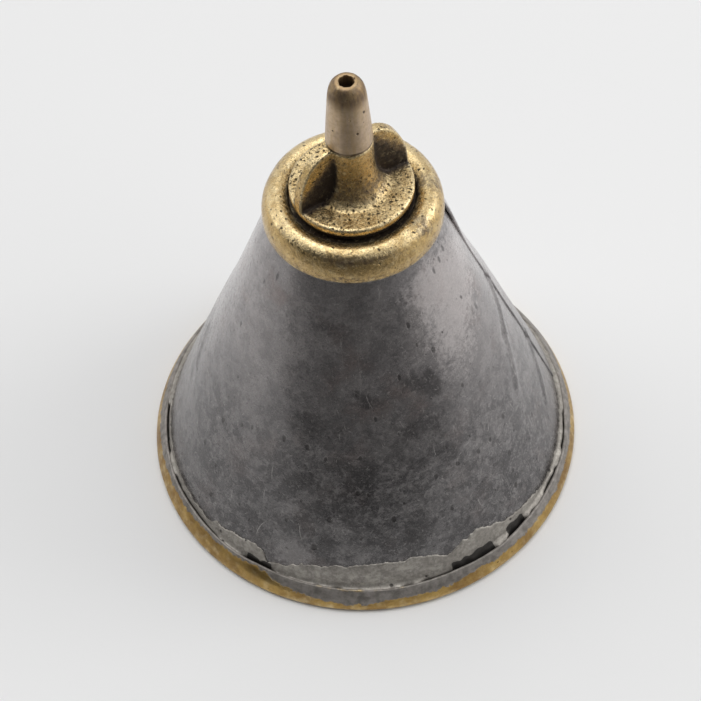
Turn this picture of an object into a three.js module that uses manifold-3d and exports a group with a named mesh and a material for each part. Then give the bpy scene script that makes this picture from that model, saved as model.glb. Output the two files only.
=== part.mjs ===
// A conical push-bottom oil can, in millimetres, +Z up, with its origin at the middle of its foot.
// A rolled sheet cone stands soldered in a brass hoop. A springy brass disc closes the hoop below and carries a
// button for the thumb. A cast brass collar closes the cone above, and a winged brass plug with the spout in it
// screws down into the collar on a leather washer.
import * as THREE from "three";
import { mergeVertices } from "three/addons/utils/BufferGeometryUtils.js";
import Module from "manifold-3d";

// Clearances
const GAP = 0.3; // between pieces that are seated, soldered or sealed against each other
const THREAD_GAP = 0.28; // round the male thread, in each direction

// Hoop: a U channel of brass sheet with a ledge inside it
const BASE_R = 50; // its widest radius, just above the foot
const HOOP_SHEET = 0.7;
const HOOP_H = 5.45; // height of the outer lip
const HOOP_LEAN = 2.3; // how far the outer wall leans in, from the widest radius to the lip
const HOOP_BULGE_Z = 1.1; // height of the widest radius
const HOOP_FOOT_IN = 0.9; // from the widest radius in to the outer edge of the flat foot
const FOOT_EDGE = 0.3; // bevel of the foot's edges
const FOOT_CORNER = 0.25; // from the widest radius in to the top of the outer bevel
const LIP_EDGE = 0.2; // bevel of the lip
const LEDGE_TOP_Z = 5.3;
const LEDGE_REACH = 10; // from the widest radius in to the ledge's inner edge

// Cone: one rolled sheet, lapped along one side
const CONE_SHEET = 0.8;
const FOOT_CREVICE = 0.77; // between the hoop's lip and the cone
const FOOT_FILLET = 1.2; // rise of the solder above the lip
const SHOULDER_Z = 80.8; // underside of the collar's rim
const LAP_WIDTH = 8;
const LAP_LIFT = 0.6;
const LAP_AZIMUTH = 8; // of the open edge of the lap, in degrees
const LAP_CLEAR_FOOT = 1.8; // from the hoop's lip up to the lap
const LAP_CLEAR_TOP = 1.4; // from the lap up to the cone's top

// Spring bottom and its button
const DISC_SHEET = 0.4;
const DISC_LAP = 3.4; // how far the disc lies on the ledge
const DISC_BEAD = 0.5; // rise of the solder above the disc
const DOME_CLEAR = 0.6; // between the bulge and the ledge
const DOME_DROP = 3.2;
const BUTTON_R = 9;
const BUTTON_T = 1;
const BUTTON_ROUND = 0.3;

// Collar
const DISH_CLEAR = 0.65; // from the flange out to the dish
const CREST_OUT = 2.2; // from the dish out to the crest
const RIM_OUT = 3.1; // from the crest out to the collar's outer wall
const RIM_OVERHANG = 1; // of the collar past the top of the cone
const CREST_H = 7; // crest above the rim's underside
const DISH_DROP = 1.5; // from the crest to the inner lip
const SEAT_DROP = 1.8; // from the crest to the washer's seat
const SPIGOT_LENGTH = 1.8; // inside the cone
const BORE_EDGE = 0.4; // bevel where the thread starts
const NECK_BEAD = 1; // height of the solder under the rim

// Washer
const WASHER_T = 1.5;
const WASHER_IN = 0.75; // from the flange in to the washer's edge
const WASHER_EDGE = 0.2;

// Spout plug
const FLANGE_R = 12.75;
const FLANGE_T = 1.9;
const NECK_R = 8; // root of the male thread
const NECK_LENGTH = 9.2; // below the flange
const NECK_WALL = 2.5;
const NECK_EDGE = 0.4;
const THREAD_DEPTH = 0.9;
const THREAD_LEAD = 1.8;
const THREAD_CREST = 0.5; // width of the crest along the axis
const THREAD_ROOT = 1.1;
const THREAD_START = 1; // from the neck's end up to the thread
const THREAD_RELIEF = 1.5; // from the thread up to the washer
const FLANGE_EDGE = 0.3;
const BOSS_R = 4.75; // at its top
const BOSS_H = 13; // above the flange
const BOSS_FLARE = 3.6; // how much wider the boss is where it meets the flange
const LUG_IN = 0.05; // from the flange's edge in to the lugs
const LUG_H = 12.9;
const LUG_T = 2.4;
const LUG_ROUND = 0.5;
const LUG_AZIMUTH = 29; // of one lug, in degrees
const PASSAGE_CLEAR = 0.3; // how much wider the passage is than the tube's bore

// Spout tube, soldered into the boss
const SOCKET_WALL = 0.85;
const SOCKET_DEPTH = 6;
const TUBE_H = 16.3; // above the boss
const TUBE_WAIST = [5, 4.4]; // height above the boss, radius
const TUBE_NECK = [11.5, 3.9];
const TUBE_SHOULDER = [15.4, 3.06];
const TIP_LAND_R = 2.25;
const TIP_HOLE_R = 1.5;
const TUBE_WALL = 1.6; // with the clearance round it

// Facets round each piece
const WIDE = 60;
const MIDDLE = 48;
const NARROW = 36;
const THREAD_FACETS = 24; // a turn

// Heights and radii that follow
const LIP_R = BASE_R - HOOP_LEAN;
const LEDGE_IN_R = BASE_R - LEDGE_REACH;
const DISC_R = LEDGE_IN_R + DISC_LAP;
const DOME_R = LEDGE_IN_R - DOME_CLEAR;
const DISH_R = FLANGE_R + DISH_CLEAR;
const CREST_R = DISH_R + CREST_OUT;
const COLLAR_R = CREST_R + RIM_OUT;
const WASHER_R = FLANGE_R - WASHER_IN;
const LUG_R = FLANGE_R - LUG_IN;
const NECK_BORE_R = NECK_R - NECK_WALL;
const SOCKET_R = BOSS_R - SOCKET_WALL;
const TUBE_BORE_R = SOCKET_R - TUBE_WALL;
const PASSAGE_R = TUBE_BORE_R + PASSAGE_CLEAR;
const CONE_FOOT_R = LIP_R - HOOP_SHEET - FOOT_CREVICE; // at the height of the lip
const CONE_TOP_Z = SHOULDER_Z - GAP;
const CONE_TOP_R = COLLAR_R - RIM_OVERHANG;
const CONE_SLOPE = (CONE_FOOT_R - CONE_TOP_R) / (CONE_TOP_Z - HOOP_H);
const ACROSS = Math.hypot(1, CONE_SLOPE); // turns a distance square to the cone's wall into a level one
const CREST_Z = SHOULDER_Z + CREST_H;
const SEAT_Z = CREST_Z - SEAT_DROP;
const FLANGE_BOTTOM_Z = SEAT_Z + GAP + WASHER_T + GAP;
const FLANGE_Z = FLANGE_BOTTOM_Z + FLANGE_T;
const NECK_END_Z = FLANGE_BOTTOM_Z - NECK_LENGTH;
const BOSS_TOP_Z = FLANGE_Z + BOSS_H;
const THREAD_R = NECK_R + THREAD_DEPTH;

const coneR = (z) => CONE_FOOT_R - CONE_SLOPE * (z - HOOP_H);
const coneInR = (z) => coneR(z) - CONE_SHEET * ACROSS;

const wasm = await Module();
wasm.setup();

const MATERIALS = {
  zinc: new THREE.MeshStandardMaterial({ color: 0x6b6b6d, roughness: 0.55, metalness: 0.7 }),
  castBrass: new THREE.MeshStandardMaterial({ color: 0xa8853f, roughness: 0.42, metalness: 0.9 }),
  sheetBrass: new THREE.MeshStandardMaterial({ color: 0x9d7a3a, roughness: 0.38, metalness: 0.9 }),
  tubeBrass: new THREE.MeshStandardMaterial({ color: 0x958464, roughness: 0.45, metalness: 0.85 }),
  solder: new THREE.MeshStandardMaterial({ color: 0x83827e, roughness: 0.5, metalness: 0.7 }),
  leather: new THREE.MeshStandardMaterial({ color: 0x33261b, roughness: 0.85, metalness: 0 }),
};

// A turned piece from its outline: [radius, height] pairs that run up its outer side. An outline that doesn't start
// on the axis is closed onto its first point.
function turned(outline, facets) {
  const points = outline.map(([r, z]) => new THREE.Vector2(r, z));
  if (outline[0][0] > 0) points.push(points[0].clone());
  return new THREE.LatheGeometry(points, facets).rotateX(Math.PI / 2);
}

// A geometry as a solid that can be cut and joined, and back again.
function solid(geometry) {
  const bare = geometry.clone().deleteAttribute("normal").deleteAttribute("uv");
  const merged = mergeVertices(bare, 1e-4);
  return new wasm.Manifold(new wasm.Mesh({
    numProp: 3,
    vertProperties: merged.attributes.position.array,
    triVerts: new Uint32Array(merged.index.array),
  }));
}

function geometryOf(body) {
  const mesh = body.getMesh();
  const geometry = new THREE.BufferGeometry();
  geometry.setAttribute("position", new THREE.BufferAttribute(mesh.vertProperties, 3));
  geometry.setIndex(new THREE.BufferAttribute(mesh.triVerts, 1));
  geometry.computeVertexNormals();
  return geometry;
}

// The middle line of a thread. Its sections stand in planes through the axis, with x along the axis and y outward.
class ThreadLine extends THREE.Curve {
  constructor(radius, bottom, top) {
    super();
    Object.assign(this, { radius, bottom, top });
  }

  angle(t) {
    return (2 * Math.PI * (this.bottom + t * (this.top - this.bottom))) / THREAD_LEAD;
  }

  getPoint(t, target = new THREE.Vector3()) {
    const angle = this.angle(t);
    const z = this.bottom + t * (this.top - this.bottom);
    return target.set(this.radius * Math.cos(angle), this.radius * Math.sin(angle), z);
  }

  computeFrenetFrames(steps) {
    const frames = { tangents: [], normals: [], binormals: [] };
    for (let i = 0; i <= steps; i += 1) {
      const angle = this.angle(i / steps);
      frames.tangents.push(new THREE.Vector3(-Math.sin(angle), Math.cos(angle), 0));
      frames.normals.push(new THREE.Vector3(0, 0, 1));
      frames.binormals.push(new THREE.Vector3(Math.cos(angle), Math.sin(angle), 0));
    }
    return frames;
  }
}

// A thread's ridge between two heights, sunk below its root by `sink` and grown by `grow` on its flanks and crest.
function threadRidge(bottom, top, sink, grow) {
  const flank = (THREAD_ROOT - THREAD_CREST) / 2 / THREAD_DEPTH; // how fast a flank spreads towards the root
  const half = THREAD_CREST / 2 + grow;
  const low = -sink;
  const high = THREAD_DEPTH + grow;
  const wide = half + flank * (high - low);
  const section = new THREE.Shape([
    new THREE.Vector2(-wide, low),
    new THREE.Vector2(wide, low),
    new THREE.Vector2(half, high),
    new THREE.Vector2(-half, high),
  ]);
  const steps = Math.round((THREAD_FACETS * (top - bottom)) / THREAD_LEAD);
  return new THREE.ExtrudeGeometry(section, { steps, extrudePath: new ThreadLine(NECK_R, bottom, top) });
}

function baseHoop() {
  const footOutR = BASE_R - HOOP_FOOT_IN;
  const slotInR = (z) => coneInR(z) - GAP * ACROSS; // the channel's inner wall, inside the cone
  const wallR = (z) => slotInR(z) - HOOP_SHEET * ACROSS;
  const ledgeBottom = LEDGE_TOP_Z - HOOP_SHEET;
  return turned([
    [footOutR, 0],
    [BASE_R - FOOT_CORNER, FOOT_EDGE],
    [BASE_R, HOOP_BULGE_Z],
    [LIP_R + LIP_EDGE / 2, HOOP_H - LIP_EDGE],
    [LIP_R - LIP_EDGE / 2, HOOP_H],
    [LIP_R - HOOP_SHEET + LIP_EDGE / 2, HOOP_H],
    [LIP_R - HOOP_SHEET, HOOP_H - LIP_EDGE],
    [BASE_R - HOOP_SHEET - LIP_EDGE / 2, HOOP_BULGE_Z + LIP_EDGE],
    [footOutR - FOOT_EDGE, HOOP_SHEET],
    [slotInR(HOOP_SHEET), HOOP_SHEET],
    [slotInR(LEDGE_TOP_Z), LEDGE_TOP_Z],
    [LEDGE_IN_R, LEDGE_TOP_Z],
    [LEDGE_IN_R, ledgeBottom],
    [wallR(ledgeBottom), ledgeBottom],
    [wallR(HOOP_SHEET), HOOP_SHEET],
    [wallR(HOOP_SHEET) + FOOT_EDGE, 0],
  ], WIDE);
}

// The solder that fills the channel between the cone's foot and the hoop's outer wall, and stands up as a fillet.
function footSolder() {
  const bottom = HOOP_SHEET + 3 * GAP;
  const under = HOOP_H - 2 * GAP;
  const top = HOOP_H + FOOT_FILLET;
  const inside = HOOP_SHEET + 1.2 * GAP;
  const wall = (z) => THREE.MathUtils.mapLinear(z, HOOP_BULGE_Z, HOOP_H, BASE_R, LIP_R) - inside;
  const onCone = (z) => coneR(z) + GAP * ACROSS;
  return turned([
    [onCone(bottom), bottom],
    [wall(bottom), bottom],
    [wall(under), under],
    [onCone(top) + FOOT_FILLET / 10, top - FOOT_FILLET / 4],
    [onCone(top), top],
  ], WIDE);
}

function coneBody() {
  const foot = HOOP_SHEET + GAP;
  const shell = turned([
    [coneR(foot), foot],
    [coneR(CONE_TOP_Z), CONE_TOP_Z],
    [coneInR(CONE_TOP_Z), CONE_TOP_Z],
    [coneInR(foot), foot],
  ], WIDE);
  const low = HOOP_H + LAP_CLEAR_FOOT;
  const high = CONE_TOP_Z - LAP_CLEAR_TOP;
  const skin = turned([
    [coneR(low) - CONE_SHEET / 2, low],
    [coneR(low) + LAP_LIFT, low],
    [coneR(high) + LAP_LIFT, high],
    [coneR(high) - CONE_SHEET / 2, high],
  ], WIDE);
  const strip = new THREE.BoxGeometry(BASE_R, LAP_WIDTH, 2 * SHOULDER_Z)
    .translate(BASE_R / 2, LAP_WIDTH / 2, 0)
    .rotateZ(THREE.MathUtils.degToRad(LAP_AZIMUTH));
  const lap = solid(skin).intersect(solid(strip));
  return geometryOf(solid(shell).add(lap));
}

// The disc lies on the ledge and bulges down through it. Both faces follow a circle's arc.
function springBottom() {
  const rimZ = LEDGE_TOP_Z + GAP;
  const bend = (DOME_R ** 2 + DOME_DROP ** 2) / (2 * DOME_DROP);
  const dome = (r) => rimZ - DOME_DROP + bend - Math.sqrt(bend ** 2 - r ** 2);
  const rings = [0, 0.25, 0.5, 0.75, 1].map((part) => part * DOME_R);
  const under = rings.map((r) => [r, dome(r)]);
  const over = rings.map((r) => [r, dome(r) + DISC_SHEET]).reverse();
  return turned([...under, [DISC_R, rimZ], [DISC_R, rimZ + DISC_SHEET], ...over], WIDE);
}

// A bead of solder round the edge of the disc, on the ledge.
function bottomSolder() {
  const low = LEDGE_TOP_Z + GAP;
  const high = low + DISC_SHEET + DISC_BEAD;
  return turned([
    [DISC_R + GAP, low],
    [coneInR(high) - GAP * ACROSS, low],
    [coneInR(high) - GAP * ACROSS, high],
    [DISC_R + GAP, low + DISC_SHEET],
  ], WIDE);
}

function thumbButton() {
  const top = LEDGE_TOP_Z + GAP - DOME_DROP - GAP;
  const bottom = top - BUTTON_T;
  return turned([
    [0, bottom],
    [BUTTON_R - BUTTON_ROUND, bottom],
    [BUTTON_R, bottom + BUTTON_ROUND],
    [BUTTON_R, top - BUTTON_ROUND],
    [BUTTON_R - BUTTON_ROUND, top],
    [0, top],
  ], NARROW);
}

function collar() {
  const spigotR = coneInR(CONE_TOP_Z) - GAP * ACROSS;
  const spigotZ = SHOULDER_Z - SPIGOT_LENGTH;
  const boreR = NECK_R + 1.2 * THREAD_GAP;
  const middle = (COLLAR_R + CREST_R) / 2;
  const body = turned([
    [boreR, spigotZ],
    [spigotR, spigotZ],
    [spigotR, SHOULDER_Z],
    [COLLAR_R - 0.25, SHOULDER_Z],
    [COLLAR_R, SHOULDER_Z + 0.3],
    [COLLAR_R + 0.02, SHOULDER_Z + 0.25 * CREST_H],
    [COLLAR_R - 0.35, SHOULDER_Z + 0.55 * CREST_H],
    [middle + 0.35, SHOULDER_Z + 0.82 * CREST_H],
    [CREST_R + 0.9, CREST_Z - 0.25],
    [CREST_R, CREST_Z],
    [CREST_R - 0.9, CREST_Z - 0.35],
    [DISH_R, CREST_Z - DISH_DROP],
    [DISH_R - 0.2, SEAT_Z],
    [boreR + BORE_EDGE, SEAT_Z],
    [boreR, SEAT_Z - BORE_EDGE],
  ], MIDDLE);
  const groove = threadRidge(spigotZ - THREAD_LEAD, SEAT_Z + THREAD_LEAD, 0, THREAD_GAP);
  return geometryOf(solid(body).subtract(solid(groove)));
}

// A thin bead in the corner under the collar's rim.
function neckSolder() {
  const top = SHOULDER_Z - GAP;
  const bottom = top - NECK_BEAD;
  return turned([
    [coneR(bottom) + GAP * ACROSS, bottom],
    [coneR(bottom) + GAP * ACROSS + NECK_BEAD / 4, bottom + NECK_BEAD / 10],
    [COLLAR_R + 0.1, top],
    [coneR(top) + GAP * ACROSS, top],
  ], WIDE);
}

function sealingWasher() {
  const bottom = SEAT_Z + GAP;
  const top = bottom + WASHER_T;
  const holeR = THREAD_R + GAP;
  return turned([
    [holeR, bottom],
    [WASHER_R - WASHER_EDGE, bottom],
    [WASHER_R, bottom + WASHER_EDGE],
    [WASHER_R, top - WASHER_EDGE],
    [WASHER_R - WASHER_EDGE, top],
    [holeR, top],
  ], MIDDLE);
}

// Both lugs as one rounded plate that stands on the flange and runs through the boss.
function lugPlate() {
  const reach = LUG_R - LUG_ROUND;
  const high = LUG_H - LUG_ROUND;
  const sink = FLANGE_T / 3;
  const outline = new THREE.Shape();
  outline.moveTo(-reach, -sink);
  outline.lineTo(reach, -sink);
  outline.absellipse(BOSS_R, 0, reach - BOSS_R, high, 0, Math.PI / 2, false);
  outline.absellipse(-BOSS_R, 0, reach - BOSS_R, high, Math.PI / 2, Math.PI, false);
  return new THREE.ExtrudeGeometry(outline, {
    depth: LUG_T - 2 * LUG_ROUND,
    curveSegments: 8,
    bevelSize: LUG_ROUND,
    bevelThickness: LUG_ROUND,
    bevelSegments: 2,
  })
    .translate(0, 0, LUG_ROUND - LUG_T / 2)
    .rotateX(Math.PI / 2)
    .rotateZ(THREE.MathUtils.degToRad(LUG_AZIMUTH))
    .translate(0, 0, FLANGE_Z);
}

function spoutPlug() {
  const flare = (height) => BOSS_R + BOSS_FLARE * Math.exp(-height / 2.4) * (1 - height / BOSS_H);
  const boss = [0, 0.6, 1.5, 3, 5.5, 9, BOSS_H].map((height) => [flare(height), FLANGE_Z + height]);
  const blank = turned([
    [0, NECK_END_Z],
    [NECK_R - NECK_EDGE, NECK_END_Z],
    [NECK_R, NECK_END_Z + NECK_EDGE],
    [NECK_R, FLANGE_BOTTOM_Z],
    [FLANGE_R - FLANGE_EDGE, FLANGE_BOTTOM_Z],
    [FLANGE_R, FLANGE_BOTTOM_Z + FLANGE_EDGE],
    [FLANGE_R, FLANGE_Z - FLANGE_EDGE],
    [FLANGE_R - FLANGE_EDGE, FLANGE_Z],
    ...boss,
    [0, BOSS_TOP_Z],
  ], MIDDLE);
  const ridge = threadRidge(NECK_END_Z + THREAD_START, FLANGE_BOTTOM_Z - WASHER_T - THREAD_RELIEF, GAP, 0);
  const socketZ = BOSS_TOP_Z - SOCKET_DEPTH;
  const bore = turned([
    [0, NECK_END_Z - 1],
    [NECK_BORE_R, NECK_END_Z - 1],
    [NECK_BORE_R, FLANGE_BOTTOM_Z - 0.5],
    [PASSAGE_R, FLANGE_Z + 2.5],
    [PASSAGE_R, socketZ],
    [SOCKET_R, socketZ],
    [SOCKET_R, BOSS_TOP_Z + 1],
    [0, BOSS_TOP_Z + 1],
  ], NARROW);
  return geometryOf(solid(blank).add(solid(lugPlate())).add(solid(ridge)).subtract(solid(bore)));
}

function spoutTube() {
  const foot = BOSS_TOP_Z - SOCKET_DEPTH + GAP;
  const shoulder = BOSS_TOP_Z + GAP;
  const spigotR = SOCKET_R - GAP;
  const tip = BOSS_TOP_Z + TUBE_H;
  const above = ([height, r]) => [r, BOSS_TOP_Z + height];
  return turned([
    [TUBE_BORE_R, foot],
    [spigotR, foot],
    [spigotR, shoulder],
    [BOSS_R - 0.05, shoulder],
    above(TUBE_WAIST),
    above(TUBE_NECK),
    [(TUBE_NECK[1] + TUBE_SHOULDER[1]) / 2 + 0.1, tip - 1.9],
    above(TUBE_SHOULDER),
    [TIP_LAND_R, tip - 0.15],
    [TIP_HOLE_R, tip],
    [TIP_HOLE_R, tip - 2],
    [TUBE_BORE_R, tip - 5],
  ], NARROW);
}

function piece(name, geometry, material) {
  const mesh = new THREE.Mesh(geometry, MATERIALS[material].clone());
  mesh.name = name;
  return mesh;
}

const can = new THREE.Group();
can.add(
  piece("base_hoop", baseHoop(), "sheetBrass"),
  piece("foot_solder", footSolder(), "solder"),
  piece("cone_body", coneBody(), "zinc"),
  piece("spring_bottom", springBottom(), "sheetBrass"),
  piece("bottom_solder", bottomSolder(), "solder"),
  piece("collar", collar(), "castBrass"),
  piece("neck_solder", neckSolder(), "solder"),
);

const button = new THREE.Group();
button.add(piece("thumb_button", thumbButton(), "sheetBrass"));

const washer = new THREE.Group();
washer.add(piece("sealing_washer", sealingWasher(), "leather"));

const spout = new THREE.Group();
spout.add(
  piece("spout_plug", spoutPlug(), "castBrass"),
  piece("spout_tube", spoutTube(), "tubeBrass"),
);

const oilCan = new THREE.Group();
oilCan.add(can, button, washer, spout);

export default oilCan;
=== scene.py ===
from math import atan2, cos, degrees, exp, floor, hypot, pi, radians, sin, sqrt

import bmesh
import bpy
from mathutils import Matrix, Vector, noise


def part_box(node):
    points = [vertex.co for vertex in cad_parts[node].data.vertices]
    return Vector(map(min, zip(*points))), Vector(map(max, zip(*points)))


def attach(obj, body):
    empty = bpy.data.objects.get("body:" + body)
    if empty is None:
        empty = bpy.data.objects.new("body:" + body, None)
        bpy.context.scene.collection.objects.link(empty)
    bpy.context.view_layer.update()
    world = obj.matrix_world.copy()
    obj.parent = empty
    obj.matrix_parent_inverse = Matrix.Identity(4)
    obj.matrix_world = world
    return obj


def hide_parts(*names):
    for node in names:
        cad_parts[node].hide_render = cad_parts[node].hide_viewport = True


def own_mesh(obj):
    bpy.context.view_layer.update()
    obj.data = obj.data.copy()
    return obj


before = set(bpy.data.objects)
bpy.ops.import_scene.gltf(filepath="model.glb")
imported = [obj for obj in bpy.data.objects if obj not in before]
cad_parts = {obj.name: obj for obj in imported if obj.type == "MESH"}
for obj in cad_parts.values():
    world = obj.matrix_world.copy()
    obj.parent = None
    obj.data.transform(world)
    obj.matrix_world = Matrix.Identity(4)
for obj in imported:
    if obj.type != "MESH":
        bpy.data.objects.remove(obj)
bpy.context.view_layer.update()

# ---------------------------------------------------------------------------------------------------------------
# Studio. A pale table top under soft light from all round, with a large lamp overhead and a smaller one at each
# side. The room is dark in front of the can. The table there is darkened with painted shade, but only in what it
# reflects and lights, not as the camera sees it. The camera stands in front, looks steeply down and sees the can
# standing a little askew.
# ---------------------------------------------------------------------------------------------------------------
studio = bpy.context.scene
studio.view_settings.view_transform = "Standard"

MM = 0.001


def put(tree, socket, value):
    if isinstance(value, bpy.types.NodeSocket):
        tree.links.new(value, socket)
    elif value is not None:
        socket.default_value = value


def fill(tree, node, **inputs):
    """Sets a node's inputs to values or to other nodes' outputs. Each _ in a name stands for a space."""
    for label, value in inputs.items():
        put(tree, node.inputs[label.replace("_", " ")], value)
    return node


def new_node(tree, kind, settings=(), **inputs):
    """A new node. Settings are (property, value) pairs, and inputs are as in fill."""
    node = tree.nodes.new(kind)
    for label, value in settings:
        setattr(node, label, value)
    return fill(tree, node, **inputs)


def sum_of(tree, operation, a, b=None, c=None, clamp=False):
    sums = new_node(tree, "ShaderNodeMath", [("operation", operation), ("use_clamp", clamp)])
    for socket, value in zip(sums.inputs, (a, b, c)):
        put(tree, socket, value)
    return sums.outputs[0]


def times(tree, a, b, clamp=False):
    return sum_of(tree, "MULTIPLY", a, b, clamp=clamp)


def inverse(tree, value):
    """1 where the value is 0, and 0 where it is 1."""
    return sum_of(tree, "SUBTRACT", 1.0, value)


def vector_of(tree, operation, *values, **inputs):
    result = new_node(tree, "ShaderNodeVectorMath", [("operation", operation)], **inputs)
    for socket, value in zip(result.inputs, values):
        put(tree, socket, value)
    return result.outputs[0]


def between(tree, value, low, high, start=0.0, end=1.0):
    """Maps value from low..high to start..end with a smooth step."""
    return new_node(tree, "ShaderNodeMapRange", [("interpolation_type", "SMOOTHSTEP")], Value=value, From_Min=low,
                    From_Max=high, To_Min=start, To_Max=end).outputs["Result"]


def blended(tree, share, under, over):
    """A colour that goes from under to over as share goes from 0 to 1."""
    mix = new_node(tree, "ShaderNodeMix", [("data_type", "RGBA")])
    put(tree, mix.inputs[0], share)
    for socket, colour in ((mix.inputs[6], under), (mix.inputs[7], over)):
        put(tree, socket, (*colour, 1) if isinstance(colour, tuple) else colour)
    return mix.outputs[2]


def layered(tree, colour, layers):
    """The colour with each (share, strength, colour over it) laid on in turn."""
    for share, strength, over in layers:
        colour = blended(tree, times(tree, share, strength), colour, over)
    return colour


def object_place(tree):
    return tree.nodes.new("ShaderNodeTexCoord").outputs["Object"]


def parts_of(tree, vector):
    return new_node(tree, "ShaderNodeSeparateXYZ", Vector=vector).outputs


def new_finish(name):
    """A material and its tree, with one Principled shader in it."""
    finish = bpy.data.materials.new(name)
    finish.use_nodes = True
    return finish, finish.node_tree, finish.node_tree.nodes["Principled BSDF"]


FLOOR_TONE = 0.80
SHADED_FLOOR_TONE = 0.17
FLOOR_R = 3
BELOW_FOOT = 0.0001
DARK_AHEAD = (-0.06, -0.13)
DARK_BESIDE = (0.56, 0.30)
DARK_MIDDLE_X = -0.15
bpy.ops.mesh.primitive_circle_add(vertices=96, radius=FLOOR_R, fill_type="NGON", location=(0, 0, -BELOW_FOOT))
floor_top = bpy.context.object
floor_top.name = "table_top"
floor_finish, tree, floor_shader = new_finish("pale_table")
where = parts_of(tree, object_place(tree))
ahead = between(tree, where["Y"], *DARK_AHEAD)
off_middle = sum_of(tree, "ABSOLUTE", sum_of(tree, "SUBTRACT", where["X"], DARK_MIDDLE_X))
beside = between(tree, off_middle, *DARK_BESIDE)
unseen = inverse(tree, tree.nodes.new("ShaderNodeLightPath").outputs["Is Camera Ray"])
# Painted shade: in front of the can the table's colour turns dark for every ray but the camera's.
painted_floor_shade = times(tree, times(tree, ahead, beside), unseen)
fill(tree, floor_shader, Base_Color=blended(tree, painted_floor_shade, (FLOOR_TONE,) * 3, (SHADED_FLOOR_TONE,) * 3), Roughness=0.9,
     Specular_IOR_Level=0.1)
floor_top.data.materials.append(floor_finish)

ROOM_LIGHT = 0.83
ROOM_TONE = (1.0, 1.0, 1.0)
DARK_ROOM_TONE = (0.04, 0.04, 0.04)
DARK_TOWARDS = (-0.10, -0.65)
DARK_LEAN = 0.45
DARK_LOW_DOWN = (0.97, 0.76)
room = bpy.data.worlds.new("soft_room")
room.use_nodes = True
tree = room.node_tree
way = parts_of(tree, object_place(tree))
forward = between(tree, sum_of(tree, "MULTIPLY_ADD", way["X"], DARK_LEAN, way["Y"]), *DARK_TOWARDS)
low_down = between(tree, way["Z"], *DARK_LOW_DOWN)
fill(tree, tree.nodes["Background"], Strength=ROOM_LIGHT,
     Color=blended(tree, times(tree, forward, low_down), ROOM_TONE, DARK_ROOM_TONE))
studio.world = room

LAMPS = [  # name, place, width, watts
    ("overhead_lamp", (-0.15, 0.15, 1.1), 0.8, 4.0),
    ("left_lamp", (-0.9, 0.25, 0.45), 0.5, 0.9),
    ("right_lamp", (0.9, 0.1, 0.45), 0.5, 2.6),
]
for name, place, width, watts in LAMPS:
    lamp = bpy.data.lights.new(name, "AREA")
    lamp.size = width
    lamp.energy = watts
    holder = bpy.data.objects.new(name, lamp)
    holder.location = place
    holder.rotation_euler = (Vector((0, 0, 0.05)) - Vector(place)).to_track_quat("-Z", "Y").to_euler()
    studio.collection.objects.link(holder)

CAMERA_PLACE = (0, -0.2391, 0.3747)
CAMERA_LENS = 95.0
LOOK_DOWN = 55.17
LOOK_ASIDE = 0.56
ROLL = -3.6
camera = bpy.data.objects.new("camera", bpy.data.cameras.new("camera"))
camera.data.lens = CAMERA_LENS
camera.data.sensor_width = 36.0
turn = Matrix.Rotation(radians(LOOK_ASIDE), 4, "Z") @ Matrix.Rotation(radians(90 - LOOK_DOWN), 4, "X")
camera.matrix_world = Matrix.Translation(CAMERA_PLACE) @ turn @ Matrix.Rotation(radians(ROLL), 4, "Z")
studio.collection.objects.link(camera)
studio.camera = camera

# ---------------------------------------------------------------------------------------------------------------
# Base hoop. A ring rolled from brass sheet into a U channel, with a ledge inside it for the bottom. Its outer wall
# leans in over the foot of the cone, its lip is rubbed bright, and solder has run down over the top of the wall.
# ---------------------------------------------------------------------------------------------------------------
def ramp(value, low, high):
    """0 below low, 1 above high, and a smooth step between them."""
    t = min(max((value - low) / (high - low), 0.0), 1.0)
    return t * t * (3 - 2 * t)


def bump(value, centre, width):
    return exp(-(((value - centre) / width) ** 2))


def turned_by(azimuth, other):
    """The angle in degrees from one azimuth to another, from -180 to 180."""
    return (azimuth - other + 180) % 360 - 180


def sway(azimuth, height, size, seed):
    """A wandering number between about -1 and 1 on a round piece; size is how far apart its swings are, in mm."""
    a = radians(azimuth)
    reach = 50 / size
    return noise.noise(Vector((cos(a) * reach + seed * 7.3, sin(a) * reach - seed * 3.1, height / size + seed)))


def along(stops, azimuth):
    """A value that follows (azimuth, value) stops round the can. The stops run from -180 to 180."""
    ring = [(stops[-1][0] - 360, stops[-1][1]), *stops, (stops[0][0] + 360, stops[0][1])]
    azimuth = (azimuth + 180) % 360 - 180
    for (a, here), (b, there) in zip(ring, ring[1:]):
        if a <= azimuth <= b:
            return here + (there - here) * ramp(azimuth, a, b)


def paint_spots(piece, name, value):
    """Keeps a number at each corner of a mesh, worked out from the corner, in mm."""
    layer = piece.data.attributes.new(name, "FLOAT", "POINT")
    for kept, vert in zip(layer.data, piece.data.vertices):
        kept.value = value(vert.co / MM)


def paint(piece, name, value):
    """The same, worked out from the corner's azimuth and height."""
    paint_spots(piece, name, lambda corner: value(degrees(atan2(corner.y, corner.x)), corner.z))


def painted(tree, name):
    return new_node(tree, "ShaderNodeAttribute", [("attribute_name", name)]).outputs["Fac"]


def smooth_line(points, steps):
    """A curve through the points, with each span cut into steps."""
    line = []
    ends = [points[0], *points, points[-1]]
    for a, b, c, d in zip(ends, ends[1:], ends[2:], ends[3:]):
        for k in range(steps):
            t = k / steps
            line.append(tuple(
                0.5 * (2 * q + (r - p) * t + (2 * p - 5 * q + 4 * r - s) * t * t + (3 * q - p - 3 * r + s) * t ** 3)
                for p, q, r, s in zip(a, b, c, d)
            ))
    return [*line, points[-1]]


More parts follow.
